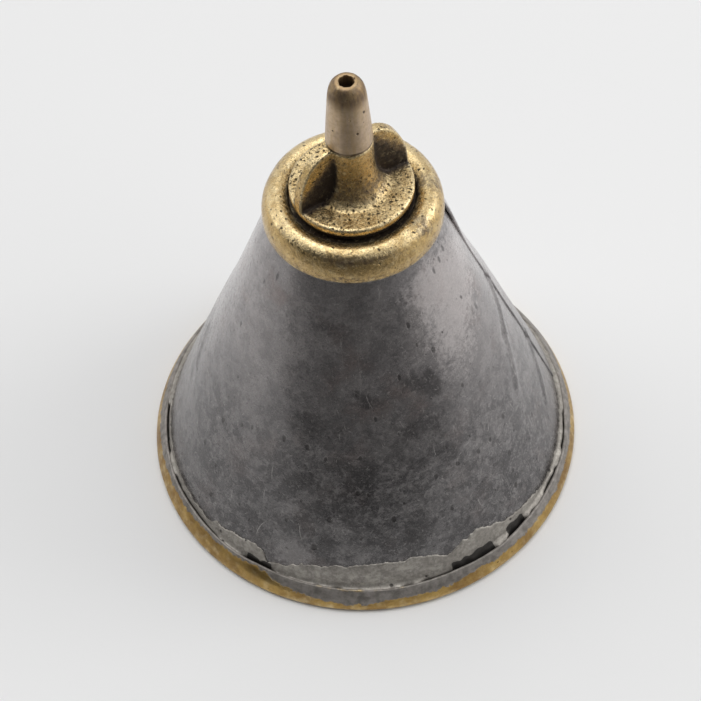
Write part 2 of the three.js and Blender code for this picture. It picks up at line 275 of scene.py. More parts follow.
def finish_mesh(name, verts, faces, sharp=40):
    """A new object from corners in millimetres, smooth but for the edges that turn by more than sharp degrees."""
    mesh = bpy.data.meshes.new(name)
    mesh.from_pydata([tuple(c * MM for c in v) for v in verts], [], faces)
    mesh.validate()
    mesh.polygons.foreach_set("use_smooth", [True] * len(mesh.polygons))
    mesh.set_sharp_from_angle(angle=radians(sharp))
    piece = bpy.data.objects.new(name, mesh)
    studio.collection.objects.link(piece)
    return piece


def turned(name, outline, steps=288, sharp=40):
    """A turned piece. outline(azimuth) gives (radius, height) pairs in mm, the same number all round, running up the
    outer side and closing on themselves, or running from axis to axis."""
    verts = []
    faces = []
    rings = []
    for i in range(steps):
        azimuth = 360 * i / steps
        ring = outline(azimuth)
        rings.append(range(len(verts), len(verts) + len(ring)))
        a = radians(azimuth)
        verts += [(r * cos(a), r * sin(a), z) for r, z in ring]
    count = len(rings[0])
    on_axis = verts[0][0] == 0 and verts[0][1] == 0
    for i in range(steps):
        here, there = rings[i], rings[(i + 1) % steps]
        for k in range(count - 1 if on_axis else count):
            up = (k + 1) % count
            corners = (here[k], there[k], there[up], here[up])
            if on_axis and k == 0:
                corners = (rings[0][0], there[up], here[up])
            elif on_axis and up == count - 1:
                corners = (here[k], there[k], rings[0][up])
            faces.append(corners)
    piece = finish_mesh(name, verts, faces, sharp)
    if on_axis:
        bm = bmesh.new()
        bm.from_mesh(piece.data)
        bmesh.ops.delete(bm, geom=[v for v in bm.verts if not v.link_faces], context="VERTS")
        bm.to_mesh(piece.data)
        bm.free()
    return piece


def stretched(tree, vector, scale=(1, 1, 1), turn_by=(0, 0, 0)):
    return new_node(tree, "ShaderNodeMapping", Vector=vector, Scale=scale,
                    Rotation=[radians(a) for a in turn_by]).outputs["Vector"]


def cloud(tree, vector, size, detail=4.0, rough=0.55, distort=0.0, seed=0.0):
    """Noise around 0.5 whose blobs are about size millimetres across."""
    return new_node(tree, "ShaderNodeTexNoise", [("noise_dimensions", "4D")], Vector=vector, W=seed,
                    Scale=1 / (size * MM), Detail=detail, Roughness=rough, Distortion=distort).outputs["Fac"]


def raised(tree, height, depth, normal=None):
    """A normal from a height between 0 and 1, where 1 stands depth millimetres proud."""
    return new_node(tree, "ShaderNodeBump", Distance=depth * MM, Height=height, Normal=normal).outputs["Normal"]


def new_group(name, inputs, outputs, kind="ShaderNodeTree"):
    """An empty node group; inputs and outputs are (name, kind) or (name, kind, value)."""
    group = bpy.data.node_groups.new(name, kind)
    for direction, sockets in (("INPUT", inputs), ("OUTPUT", outputs)):
        for label, holds, *value in sockets:
            socket = group.interface.new_socket(label, in_out=direction, socket_type="NodeSocket" + holds)
            if value:
                socket.default_value = value[0]
    return group, group.nodes.new("NodeGroupInput").outputs, group.nodes.new("NodeGroupOutput").inputs


def use_group(tree, group, **inputs):
    return new_node(tree, "ShaderNodeGroup", [("node_tree", group)], **inputs).outputs


def scratch_group():
    """Fine straight scratches that run mostly one way. Vector is stretched along them before it comes in."""
    group, given, made = new_group(
        "fine scratches",
        [("Vector", "Vector"), ("Spacing", "Float", 6.0), ("Width", "Float", 0.012), ("Share", "Float", 0.5)],
        [("Mask", "Float")],
    )
    spread = sum_of(group, "DIVIDE", 1 / MM, given["Spacing"])
    lines = new_node(group, "ShaderNodeTexNoise", Vector=given["Vector"], Scale=spread, Detail=2.0)
    off = sum_of(group, "ABSOLUTE", sum_of(group, "SUBTRACT", lines.outputs["Fac"], 0.5))
    line = between(group, off, given["Width"], 0.0)
    patch = new_node(group, "ShaderNodeTexNoise", [("noise_dimensions", "4D")], Vector=given["Vector"], W=4.7,
                     Scale=times(group, spread, 0.9))
    gate = between(group, patch.outputs["Fac"], sum_of(group, "SUBTRACT", 1.02, given["Share"]), 0.72)
    put(group, made["Mask"], times(group, line, gate, clamp=True))
    return group


def tick_group():
    """Short straight scratches, each leaning its own way. Vector lies flat, in metres."""
    group, given, made = new_group(
        "short scratches",
        [("Vector", "Vector"), ("Spacing", "Float", 3.0), ("Length", "Float", 0.8), ("Width", "Float", 0.05),
         ("Share", "Float", 0.5), ("Lean", "Float", 0.0), ("Spread", "Float", 3.14)],
        [("Mask", "Float")],
    )
    spread = sum_of(group, "DIVIDE", 1 / MM, given["Spacing"])
    cells = new_node(group, "ShaderNodeTexVoronoi", [("voronoi_dimensions", "2D")], Vector=given["Vector"],
                     Scale=spread).outputs
    away = vector_of(group, "SUBTRACT", given["Vector"], cells["Position"])
    grown = vector_of(group, "SCALE", away, Scale=spread)
    chance = new_node(group, "ShaderNodeSeparateColor", Color=cells["Color"]).outputs
    angle = sum_of(group, "MULTIPLY_ADD", sum_of(group, "SUBTRACT", chance["Green"], 0.5), given["Spread"],
                   given["Lean"])
    leaned = new_node(group, "ShaderNodeVectorRotate", [("rotation_type", "Z_AXIS")], Vector=grown, Angle=angle)
    parts = parts_of(group, leaned.outputs[0])
    bow = times(group, times(group, parts["Y"], parts["Y"]), 0.35)
    off = sum_of(group, "ABSOLUTE", sum_of(group, "ADD", parts["X"], bow))
    reach = sum_of(group, "ABSOLUTE", parts["Y"])
    wide = sum_of(group, "DIVIDE", given["Width"], given["Spacing"])
    long = sum_of(group, "DIVIDE", times(group, given["Length"], chance["Blue"]), given["Spacing"])
    line = between(group, off, wide, 0.0)
    ends = between(group, reach, long, times(group, long, 0.4))
    there = sum_of(group, "LESS_THAN", chance["Red"], given["Share"])
    put(group, made["Mask"], times(group, times(group, line, ends), there, clamp=True))
    return group


def pit_group(name, dimensions):
    """Small round pits, each a dark dot and a hollow. Share is how many of them are open."""
    group, given, made = new_group(
        name,
        [("Vector", "Vector"), ("Spacing", "Float", 1.5), ("Reach", "Float", 0.3), ("Share", "Float", 0.4)],
        [("Mask", "Float")],
    )
    spread = sum_of(group, "DIVIDE", 1 / MM, given["Spacing"])
    warp = new_node(group, "ShaderNodeTexNoise", Vector=given["Vector"], Scale=times(group, spread, 2.4), Detail=3.0)
    shifted = vector_of(group, "MULTIPLY_ADD", warp.outputs["Color"], (0.8 * MM,) * 3, given["Vector"])
    cells = new_node(group, "ShaderNodeTexVoronoi", [("voronoi_dimensions", dimensions)], Vector=shifted,
                     Scale=spread).outputs
    chance = new_node(group, "ShaderNodeSeparateColor", Color=cells["Color"]).outputs
    size = times(group, given["Reach"], between(group, chance["Green"], 0.0, 1.0, 0.35, 1.0))
    open_here = sum_of(group, "LESS_THAN", chance["Red"], given["Share"])
    dot = between(group, cells["Distance"], size, times(group, size, 0.55))
    put(group, made["Mask"], times(group, dot, open_here, clamp=True))
    return group


def wear_group():
    """Where hands and cloths rub an edge bright."""
    group, given, made = new_group(
        "edge wear",
        [("Vector", "Vector"), ("Spread", "Float", 0.02), ("Patch Size", "Float", 2.0)],
        [("Rubbed", "Float")],
    )
    point = group.nodes.new("ShaderNodeNewGeometry").outputs["Pointiness"]
    patch = new_node(group, "ShaderNodeTexNoise", Vector=given["Vector"], Detail=4.0,
                     Scale=sum_of(group, "DIVIDE", 1 / MM, given["Patch Size"]))
    ragged = sum_of(group, "MULTIPLY_ADD", sum_of(group, "SUBTRACT", patch.outputs["Fac"], 0.5), 0.06, point)
    put(group, made["Rubbed"], between(group, ragged, 0.5, sum_of(group, "ADD", 0.5, given["Spread"])))
    return group


SCRATCHES, TICKS, EDGE_WEAR = scratch_group(), tick_group(), wear_group()
PITS, FLAT_PITS = pit_group("pits", "3D"), pit_group("pits in a flat face", "2D")


def corner_shade_and_dirt(tree, reach, open_share=0.85, closed_share=0.45):
    """1 deep in a corner or a hollow and 0 in the open: a mask for painted shade and dirt. reach is how far round it
    looks, in mm.
    """
    shelter = new_node(tree, "ShaderNodeAmbientOcclusion", [("samples", 6)], Distance=reach * MM)
    return between(tree, shelter.outputs["AO"], open_share, closed_share)


def box_of(node):
    """The lowest and highest corner of a node of the design, in mm."""
    return [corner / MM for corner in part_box(node)]


hoop_high = box_of("base_hoop")[1]
BASE_R = hoop_high.x
LIP_Z = hoop_high.z
LIP_LEAN = 2.3
HOOP_SHEET = 0.7
LEDGE_IN = 40.0
LEDGE_OUT = 45.0
LEDGE_TOP = 5.3
CHANNEL_R = 46.7


def lip_wander(azimuth):
    """How far the lip has been pushed out or in by hand, in mm."""
    out = 0.35 * bump(turned_by(azimuth, -52), 0, 16) + 0.3 * bump(turned_by(azimuth, -20), 0, 20)
    dip = 0.25 * bump(turned_by(azimuth, -122), 0, 5)
    return out - dip + 0.28 * sway(azimuth, 0, 14, 1) + 0.07 * sway(azimuth, 0, 3, 2)


def hoop_outline(azimuth):
    lip = BASE_R - LIP_LEAN + lip_wander(azimuth)
    rise = 0.22 * sway(azimuth, 0, 18, 3) + 0.06 * sway(azimuth, 0, 2.5, 4) - 0.1
    top = LIP_Z + rise
    wide = BASE_R - 0.06 + 0.05 * sway(azimuth, 0, 9, 5)
    outer = smooth_line([
        (wide - 0.95, 0), (wide - 0.35, 0.1), (wide - 0.03, 0.6), (wide, 1.1), (wide - 0.2, 1.75),
        (wide - 0.95, 3.2), (lip + 0.22, top - 0.6), (lip + 0.02, top - 0.15), (lip - 0.18, top),
    ], 4)
    inner = smooth_line([
        (lip - 0.42, top - 0.02), (lip - 0.6, top - 0.2), (lip - 0.45, top - 0.9), (wide - 1.0, 1.8),
        (wide - 0.95, 1.1), (wide - 1.4, HOOP_SHEET),
    ], 3)
    low = LEDGE_TOP - HOOP_SHEET
    ledge = [
        (CHANNEL_R + 0.16, HOOP_SHEET), (CHANNEL_R, HOOP_SHEET + 0.3), (LEDGE_OUT + 0.3, LEDGE_TOP - 0.5),
        (LEDGE_OUT, LEDGE_TOP - 0.1), (LEDGE_OUT - 0.4, LEDGE_TOP), (LEDGE_IN + 0.3, LEDGE_TOP),
        (LEDGE_IN, LEDGE_TOP - 0.2), (LEDGE_IN, low + 0.15), (LEDGE_IN + 0.2, low), (LEDGE_OUT - 0.8, low),
        (LEDGE_OUT - 0.4, low - 0.3), (CHANNEL_R - 0.7, 0.9), (CHANNEL_R - 0.5, 0.25), (CHANNEL_R - 0.2, 0),
    ]
    return [*outer, *inner, *ledge]


SHEET_BRASS = (0.52, 0.35, 0.12)
SHEET_BRASS_WORN = (0.80, 0.66, 0.40)
SHEET_BRASS_BROWN = (0.22, 0.125, 0.05)
BARE_BRASS_TOP = [  # azimuth, height up to which the brass is free of solder
    (-180, 3.4), (-165, 4.0), (-150, 4.6), (-122, 4.9), (-114, 3.6), (-107, 3.0), (-101, 2.5), (-97, 2.1), (-93, 2.4),
    (-89, 3.0), (-84, 3.1), (-70, 3.1), (-60, 3.5), (-45, 3.3), (-30, 3.3), (-15, 3.4), (0, 3.5), (30, 2.2),
    (60, 3.4), (100, 2.0), (140, 3.6),
]
LIP_RUBBED = [  # azimuth, how much brass shows along the lip
    (-180, 0.05), (-150, 0.10), (-124, 0.15), (-112, 0.3), (-98, 0.45), (-64, 0.2), (-48, 0.1), (-20, 0.1), (10, 0.1),
    (90, 0.3),
]


def sheet_brass(name, solder_runs):
    """Rolled brass sheet gone brown, with rub marks. solder_runs adds the grey skin that solder left near the lip."""
    finish, tree, shader = new_finish(name)
    place = object_place(tree)
    stain = between(tree, cloud(tree, place, 7, 6, 0.65), 0.36, 0.66)
    fine = between(tree, cloud(tree, place, 0.7, 4, 0.6, seed=3.0), 0.35, 0.7)
    wear = use_group(tree, EDGE_WEAR, Vector=place, Spread=0.03)
    lines = use_group(tree, SCRATCHES, Vector=stretched(tree, place, (1, 1, 6)), Spacing=3.0, Share=0.55)["Mask"]
    pits = use_group(tree, PITS, Vector=place, Spacing=1.6, Reach=0.22, Share=0.3)["Mask"]
    colour = layered(tree, SHEET_BRASS, [
        (stain, 0.75, SHEET_BRASS_BROWN), (fine, 0.25, SHEET_BRASS_BROWN), (lines, 0.35, SHEET_BRASS_WORN),
        (wear["Rubbed"], 0.7, SHEET_BRASS_WORN), (pits, 0.7, (0.05, 0.03, 0.015)),
    ])
    rough = between(tree, fine, 0.0, 1.0, 0.30, 0.46)
    metal = 1.0
    relief = raised(tree, cloud(tree, place, 0.5, 5, 0.6, seed=6.0), 0.05)
    if solder_runs:
        fretted = sum_of(tree, "MULTIPLY_ADD", cloud(tree, place, 1.6, 4, 0.65, seed=2.0), 2.2, painted(tree, "above"))
        rubbed = sum_of(tree, "MULTIPLY_ADD", cloud(tree, place, 2.5, 3, 0.6, seed=8.0), 0.8, painted(tree, "lip"))
        skin = times(tree, between(tree, fretted, 0.95, 1.25), between(tree, rubbed, 1.02, 0.80))
        grain = between(tree, cloud(tree, place, 1.5, 5, 0.6, seed=5.0), 0.3, 0.7)
        solder = blended(tree, grain, (0.17, 0.155, 0.14), (0.33, 0.305, 0.28))
        colour = blended(tree, skin, colour, solder)
        rough = sum_of(tree, "MULTIPLY_ADD", skin, 0.15, rough)
        metal = sum_of(tree, "MULTIPLY_ADD", skin, -0.35, 1.0)
        relief = raised(tree, skin, 0.08, relief)
    fill(tree, shader, Base_Color=colour, Roughness=rough, Metallic=metal, Normal=relief)
    return finish


def above_bare_brass(azimuth, height):
    ragged = 0.35 * sway(azimuth, 0, 5, 6) + 0.15 * sway(azimuth, 0, 1.5, 7)
    return height - along(BARE_BRASS_TOP, azimuth) - ragged


def on_lip(azimuth, height):
    return along(LIP_RUBBED, azimuth) * ramp(height, LIP_Z - 0.55, LIP_Z - 0.25)


hoop = turned("brass_hoop", hoop_outline, steps=720, sharp=50)
paint(hoop, "above", above_bare_brass)
paint(hoop, "lip", on_lip)
hoop.data.materials.append(sheet_brass("tarnished_hoop_brass", solder_runs=True))
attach(hoop, "can")
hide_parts("base_hoop")

# ---------------------------------------------------------------------------------------------------------------
# Spring bottom. A thin disc of hard brass that lies on the hoop's ledge and bulges down through it, with two
# pressed rings that let it spring. A bead of solder seals its edge, inside the can.
# ---------------------------------------------------------------------------------------------------------------
disc_low, disc_high = box_of("spring_bottom")
DISC_SHEET = 0.4
DOME_R = 39.4
RING_RADII = (22, 30)
RING_RISE = 0.22
RING_WIDTH = 1.5
disc_rim = disc_high.z - DISC_SHEET
dome_drop = disc_rim - disc_low.z


def disc_outline(azimuth):
    bend = (DOME_R ** 2 + dome_drop ** 2) / (2 * dome_drop)
    under = []
    for k in range(61):
        r = DOME_R * k / 60
        level = disc_rim - dome_drop + bend - sqrt(bend ** 2 - r ** 2)
        rings = sum(RING_RISE * bump(r, ring, RING_WIDTH) for ring in RING_RADII)
        dent = 0.08 * sway(azimuth, 0, 20, 21) * ramp(r, 4, 30) * ramp(DOME_R - r, 0, 6)
        under.append((r, level + rings + dent))
    over = [(r, level + DISC_SHEET) for r, level in reversed(under)]
    return [*under, (disc_high.x, disc_rim), (disc_high.x, disc_rim + DISC_SHEET), *over]


disc = turned("sprung_disc", disc_outline, steps=240)
disc.data.materials.append(sheet_brass("tarnished_disc_brass", solder_runs=False))
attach(disc, "can")
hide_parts("spring_bottom")
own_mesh(disc)


def soft_solder(name):
    """Soft solder, wiped by hand: dull grey with a warm cast, darker where it is rough, and full of small pits. Its
    corners and crevices are darkened with painted shade and dirt, and it is nearly black where its torn attribute
    marks painted shadow and dirt above an open slot."""
    finish, tree, shader = new_finish(name)
    place = object_place(tree)
    broad = between(tree, cloud(tree, place, 5, 5, 0.6, seed=1.0), 0.34, 0.68)
    grain = between(tree, cloud(tree, place, 0.8, 5, 0.65, seed=2.0), 0.3, 0.72)
    pits = use_group(tree, PITS, Vector=place, Spacing=2.0, Reach=0.3, Share=0.28)["Mask"]
    lines = use_group(tree, SCRATCHES, Vector=place, Spacing=4.0, Share=0.5)["Mask"]
    mottle = between(tree, cloud(tree, place, 1.4, 6, 0.72, 0.3, seed=3.0), 0.45, 0.60)
    ragged = sum_of(tree, "MULTIPLY_ADD", cloud(tree, place, 0.9, 5, 0.7, seed=6.0), 1.2, -0.6)
    # Painted shadow and dirt: the solder turns nearly black just above the open slots.
    torn = between(tree, sum_of(tree, "ADD", painted(tree, "torn"), ragged), 0.35, 0.55)
    colour = layered(tree, blended(tree, broad, (0.34, 0.315, 0.28), (0.50, 0.468, 0.42)), [
        (grain, 0.45, (0.17, 0.158, 0.145)), (mottle, 0.45, (0.15, 0.138, 0.125)), (lines, 0.3, (0.6, 0.58, 0.54)),
        # Painted shade and dirt in corners and crevices, from ambient occlusion.
        (corner_shade_and_dirt(tree, 1.5, 0.7, 0.25), 0.85, (0.05, 0.045, 0.04)), (pits, 0.8, (0.04, 0.036, 0.033)),
        (torn, 0.92, (0.03, 0.027, 0.025)),
    ])
    rough_skin = raised(tree, cloud(tree, place, 1.0, 5, 0.6, seed=4.0), 0.1)
    fill(tree, shader, Base_Color=colour, Roughness=between(tree, grain, 0.0, 1.0, 0.44, 0.6), Metallic=0.55,
         Normal=raised(tree, inverse(tree, pits), 0.12, rough_skin))
    return finish


SOLDER = soft_solder("wiped_solder")
BEAD_R = 44.7


def disc_bead_outline(azimuth):
    swell = 0.15 * sway(azimuth, 0, 6, 23)
    low = LEDGE_TOP + 0.25
    return [(BEAD_R - 1.1, low), (BEAD_R, low), (BEAD_R + 0.05, low + 0.8 + swell), (BEAD_R - 0.5, low + 0.95 + swell),
            (BEAD_R - 1.3, low + 0.5)]


disc_bead = turned("solder_round_the_disc", disc_bead_outline, steps=240)
disc_bead.data.materials.append(SOLDER)
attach(disc_bead, "can")
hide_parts("bottom_solder")

# ---------------------------------------------------------------------------------------------------------------
# Thumb button. A small brass disc under the middle of the bottom, where the thumb pushes. Its face is slightly
# crowned and its edge is rounded.
# ---------------------------------------------------------------------------------------------------------------
button_low, button_high = box_of("thumb_button")


def button_outline(azimuth):
    r, low, high = button_high.x - 0.01, button_low.z, button_high.z
    face = [(r * k / 16, low + 0.12 * (k / 16) ** 2) for k in range(14)]
    edge = smooth_line([(r - 0.5, low + 0.13), (r - 0.12, low + 0.26), (r, high - 0.35), (r - 0.25, high)], 4)
    return [*face, *edge, (0, high)]


button = turned("brass_button", button_outline, steps=160)
button.data.materials.append(sheet_brass("rubbed_button_brass", solder_runs=False))
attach(button, "button")
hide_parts("thumb_button")

# ---------------------------------------------------------------------------------------------------------------
# Cone. One sheet of zinc rolled round a cone and lapped, its outer edge standing off a little near the top. Years
# of use have given it shallow dents, a few sharp creases on one side, pits, stains and scratches.
# ---------------------------------------------------------------------------------------------------------------
cone_low, cone_high = box_of("cone_body")
collar_low, collar_high = box_of("collar")
CONE_SHEET = 0.6
CONE_SLOPE = 0.38013
cone_foot_r = cone_high.x
cone_top_z = cone_high.z
LAP_EDGE = 8.0
LAP_MM = 8.0
LAP_LIFT = 0.64
LAP_LIFT_LOW = 0.22
LAP_GAPE = 0.2
MEAN_R = 33.0
DENTS = [  # azimuth, height, width and depth; a negative depth stands proud
    (-64, 53, 9, 0.45), (-90, 50, 7, 0.3), (-91, 34, 8, 0.35), (-119, 57, 8, 0.25), (-30, 43, 9, 0.35),
    (-150, 42, 10, 0.3), (-128, 24, 9, 0.3), (-50, 22, 10, 0.4), (-15, 22, 8, 0.35), (20, 60, 10, 0.4),
    (60, 40, 14, 0.5), (110, 30, 12, 0.4), (150, 55, 12, 0.45), (90, 65, 8, 0.3), (172, 20, 9, 0.35),
    (-80, 68, 5, 0.2), (-40, 66, 6, 0.25),
]
CREASES = [  # azimuth and height of both ends, width, height of the ridge
    ((9, 51), (-9, 41.5), 0.7, 0.30), ((-9, 41.5), (-20, 30), 0.8, 0.20), ((10, 26), (-7, 15), 0.7, 0.26),
    ((171, 36), (178, 28), 1.4, 0.35), ((120, 48), (134, 38), 1.6, 0.3),
]
STAINS = [  # azimuth, height, width and strength of the dark blotches
    (-66, 54, 3.4, 0.9), (-58, 51, 3.2, 0.8), (-89.5, 52, 2.8, 1.0), (-91, 34.7, 3.6, 1.2), (-72, 43.5, 3.2, 0.8),
    (-62, 43, 3.0, 0.6), (-62, 35, 3.6, 0.7), (-101, 38, 3, 0.5), (-113, 31, 3, 0.6), (-82, 27, 3, 0.5),
    (-119, 58, 5, 0.4), (-117, 46, 8, 0.4), (-121, 29, 8, 0.35), (-103, 69, 7, 0.4), (-76, 18, 5, 0.6),
    (-104, 18, 3.5, 0.6), (-95, 24, 4, 0.4), (-112, 45, 3, 0.6), (-60, 16, 5, 0.5), (-30, 30, 6, 0.4),
    (-125, 17, 5, 0.4), (60, 50, 12, 0.6), (120, 30, 10, 0.6), (160, 60, 9, 0.5), (95, 18, 9, 0.5), (20, 35, 8, 0.5),
]
# Pale spots: zinc bloom low down, and painted reflection of a bright spot high on the right.
BLOOMS_AND_REFLECTIONS = [  # and of the pale ones
    (-116, 22.6, 3.2, 0.9), (-111.5, 12.8, 3, 0.9), (-116.6, 10.6, 3.2, 0.8), (-93.6, 12.6, 3.2, 0.8),
    (-72, 31, 3, 0.4), (-99.5, 20, 4, 0.7), (-88, 21, 5, 0.35), (-105, 29, 5, 0.4), (-82, 46, 5, 0.5),
    (-50, 40, 5, 0.5), (-45, 60, 7, 0.5), (-130, 30, 6, 0.4), (-45, 30, 5, 0.4), (-140, 15, 5, 0.5),
    (-96, 42, 5, 0.3), (-48, 73, 7, 0.7), (-12, 70, 9, 0.7), (-42, 50, 6, 0.4), (-34, 27, 6, 0.45),
    (-26, 70, 8, 0.4), (-30, 60, 9, 0.5), (-128, 45, 8, 0.3), (40, 60, 10, 0.5), (80, 35, 9, 0.6),
    (140, 20, 8, 0.6), (170, 45, 8, 0.5),
]


def cone_r(height):
    return cone_foot_r - CONE_SLOPE * (height - cone_low.z)


def crease_height(azimuth, height, crease):
    (a1, z1), (a2, z2), width, ridge = crease
    r = cone_r(height)
    x, y = radians(turned_by(azimuth, a1)) * r, height - z1
    dx, dy = radians(a2 - a1) * r, z2 - z1
    gone = min(max((x * dx + y * dy) / (dx * dx + dy * dy), 0), 1)
    off = hypot(x - gone * dx, y - gone * dy)
    side = 1 if (x * dy - y * dx) > 0 else -1
    return ridge * (bump(off, 0, width) - 0.55 * bump(off * side, 1.9 * width, 1.3 * width))


def cone_relief(azimuth, height):
    """How far the sheet stands off the true cone, in mm, from dents, creases and the waves that rolling left."""
    r = cone_r(height)
    held = ramp(height, 1, 9) * ramp(height, cone_top_z + 1, cone_top_z - 9)
    deep = 0.22 * sway(azimuth, height, 26, 31) + 0.09 * sway(azimuth, height, 9, 32)
    for where, level, width, depth in DENTS:
        across = radians(turned_by(azimuth, where)) * r
        if abs(across) < 3 * width:
            deep -= depth * bump(hypot(across, height - level), 0, width)
    for crease in CREASES:
        if abs(turned_by(azimuth, crease[0][0])) < 60:
            deep += crease_height(azimuth, height, crease)
    return held * deep - 0.15 * (1 - held)


def cone_point(azimuth, height, lift=0.0):
    """A point of the cone's outer face, or one lift millimetres above it."""
    off = cone_relief(azimuth, height) + lift
    tilt = 1 / hypot(1, CONE_SLOPE)
    r = cone_r(height) + off * tilt
    a = radians(azimuth)
    return Vector((r * cos(a), r * sin(a), height + off * CONE_SLOPE * tilt))


def beside_cone(azimuth, height, lift=0.0):
    """The same point's distance from the axis, and its height."""
    p = cone_point(azimuth, height, lift)
    return hypot(p.x, p.y), p.z


def patchy(spots, seed):
    """How strongly the spots cover a place, with edges that wander."""
    def cover(azimuth, height):
        r = cone_r(height)
        x = 2.2 * sway(azimuth, height, 5, seed) + 0.9 * sway(azimuth, height, 1.8, seed + 1)
        y = 2.2 * sway(azimuth, height, 5, seed + 2) + 0.9 * sway(azimuth, height, 1.8, seed + 3)
        total = 0
        for where, level, width, strength in spots:
            across = radians(turned_by(azimuth, where)) * r + x
            if abs(across) < 3 * width:
                total += strength * bump(hypot(across, (height - level + y) * 1.1), 0, width)
        return total
    return cover


def zinc_sheet():
    """Old zinc: nearly black grey, clouded, browner in places, with pale bloom near the foot, pale spots of painted
    reflection high on the right, pits and scratches.
    """
    finish, tree, shader = new_finish("old_zinc")
    place = object_place(tree)
    lie = new_node(tree, "ShaderNodeUVMap", [("uv_map", "sheet")]).outputs["UV"]
    height = parts_of(tree, place)["Z"]
    broad = between(tree, cloud(tree, place, 14, 4, 0.6, 0.4), 0.40, 0.60)
    blotch = between(tree, cloud(tree, place, 3.6, 6, 0.72, 0.4, seed=2.0), 0.46, 0.55)
    mottle = between(tree, cloud(tree, place, 1.3, 6, 0.78, 0.2, seed=5.0), 0.50, 0.58)
    speck = between(tree, cloud(tree, place, 0.5, 4, 0.7, 0.2, seed=6.0), 0.56, 0.63)
    grain = between(tree, cloud(tree, place, 0.3, 3, 0.6, seed=8.0), 0.3, 0.7)
    brown = between(tree, cloud(tree, place, 9, 4, 0.6, seed=12.0), 0.50, 0.70)
    upper = between(tree, height, 30 * MM, 55 * MM, 0.2, 0.6)
    lower = between(tree, height, 52 * MM, 26 * MM)
    foot = between(tree, height, 66 * MM, 14 * MM, 0.0, 0.78)
    pale = times(tree, mottle, between(tree, lower, 0, 1, 0.2, 0.5))
    flecked = sum_of(tree, "MULTIPLY_ADD", cloud(tree, place, 1.1, 6, 0.78, seed=21.0), 2.6, -1.35)
    # Pale spots: bloom, and painted reflection where they stand high up; their tone lightens with height.
    bloom_and_reflection = between(tree, sum_of(tree, "ADD", painted(tree, "bloom_and_reflection"), flecked), 0.25, 0.85)
    bloom_and_reflection_tone = blended(tree, between(tree, height, 40 * MM, 60 * MM), (0.26, 0.25, 0.245), (0.56, 0.54, 0.53))
    torn = sum_of(tree, "MULTIPLY_ADD", cloud(tree, place, 1.6, 6, 0.74, seed=23.0), 1.6, -0.8)
    stain = between(tree, sum_of(tree, "ADD", painted(tree, "stain"), torn), 0.25, 0.7)
    crowd = between(tree, cloud(tree, place, 16, 2, 0.5, seed=31.0), 0.40, 0.60, 0.15, 0.9)
    runs = use_group(tree, FLAT_PITS, Vector=stretched(tree, lie, (1, 0.6, 1)), Spacing=5.5, Reach=0.13,
                     Share=crowd)["Mask"]
    dots = use_group(tree, FLAT_PITS, Vector=lie, Spacing=2.0, Reach=0.13, Share=crowd)["Mask"]
    holes = sum_of(tree, "MAXIMUM", runs, times(tree, dots, 0.75))
    down = use_group(tree, SCRATCHES, Vector=stretched(tree, lie, (1, 0.07, 1), (0, 0, 6)), Spacing=3.2,
                     Width=0.008, Share=0.50)["Mask"]
    upright = use_group(tree, TICKS, Vector=lie, Spacing=7.0, Length=3.4, Width=0.10, Share=0.30, Spread=0.7)["Mask"]
    ticks = use_group(tree, TICKS, Vector=stretched(tree, lie, (1, 1, 1), (0, 0, 31)), Spacing=2.2, Length=0.7,
                      Width=0.08, Share=0.32)["Mask"]
    marks = sum_of(tree, "MAXIMUM", times(tree, down, 0.6), sum_of(tree, "MAXIMUM", upright, ticks))
    colour = blended(tree, broad, (0.215, 0.21, 0.21), (0.30, 0.292, 0.288))
    colour = blended(tree, foot, colour, (0.085, 0.082, 0.083))
    colour = layered(tree, blended(tree, pale, colour, (0.29, 0.28, 0.275)), [
        (blotch, between(tree, lower, 0, 1, 0.3, 0.7), (0.040, 0.038, 0.040)), (brown, upper, (0.20, 0.155, 0.140)),
        (bloom_and_reflection, 0.65, bloom_and_reflection_tone), (stain, 0.75, (0.045, 0.042, 0.043)), (speck, 0.4, (0.34, 0.325, 0.315)),
        (grain, 0.25, (0.10, 0.095, 0.09)), (holes, 0.75, (0.025, 0.021, 0.02)), (marks, 0.75, (0.46, 0.45, 0.43)),
    ])
    chalky = 0.0
    for share, strength in ((bloom_and_reflection, 0.5), (speck, 0.5), (pale, 0.6), (marks, 0.8)):
        chalky = sum_of(tree, "MAXIMUM", chalky, times(tree, share, strength))
    relief = raised(tree, cloud(tree, place, 3.0, 6, 0.6, seed=14.0), 0.10)
    relief = raised(tree, grain, 0.012, relief)
    relief = raised(tree, inverse(tree, holes), 0.10, relief)
    fill(tree, shader, Base_Color=colour, Metallic=sum_of(tree, "SUBTRACT", 0.80, chalky),
         Roughness=sum_of(tree, "MULTIPLY_ADD", speck, 0.08, between(tree, mottle, 0.0, 1.0, 0.27, 0.38)),
         Coat_Weight=between(tree, height, 12 * MM, 66 * MM, 0.4, 1.0), Coat_Roughness=0.22, Coat_IOR=1.55,
         Coat_Tint=(1.0, 0.955, 0.95, 1), Normal=raised(tree, inverse(tree, marks), 0.02, relief))
    return finish


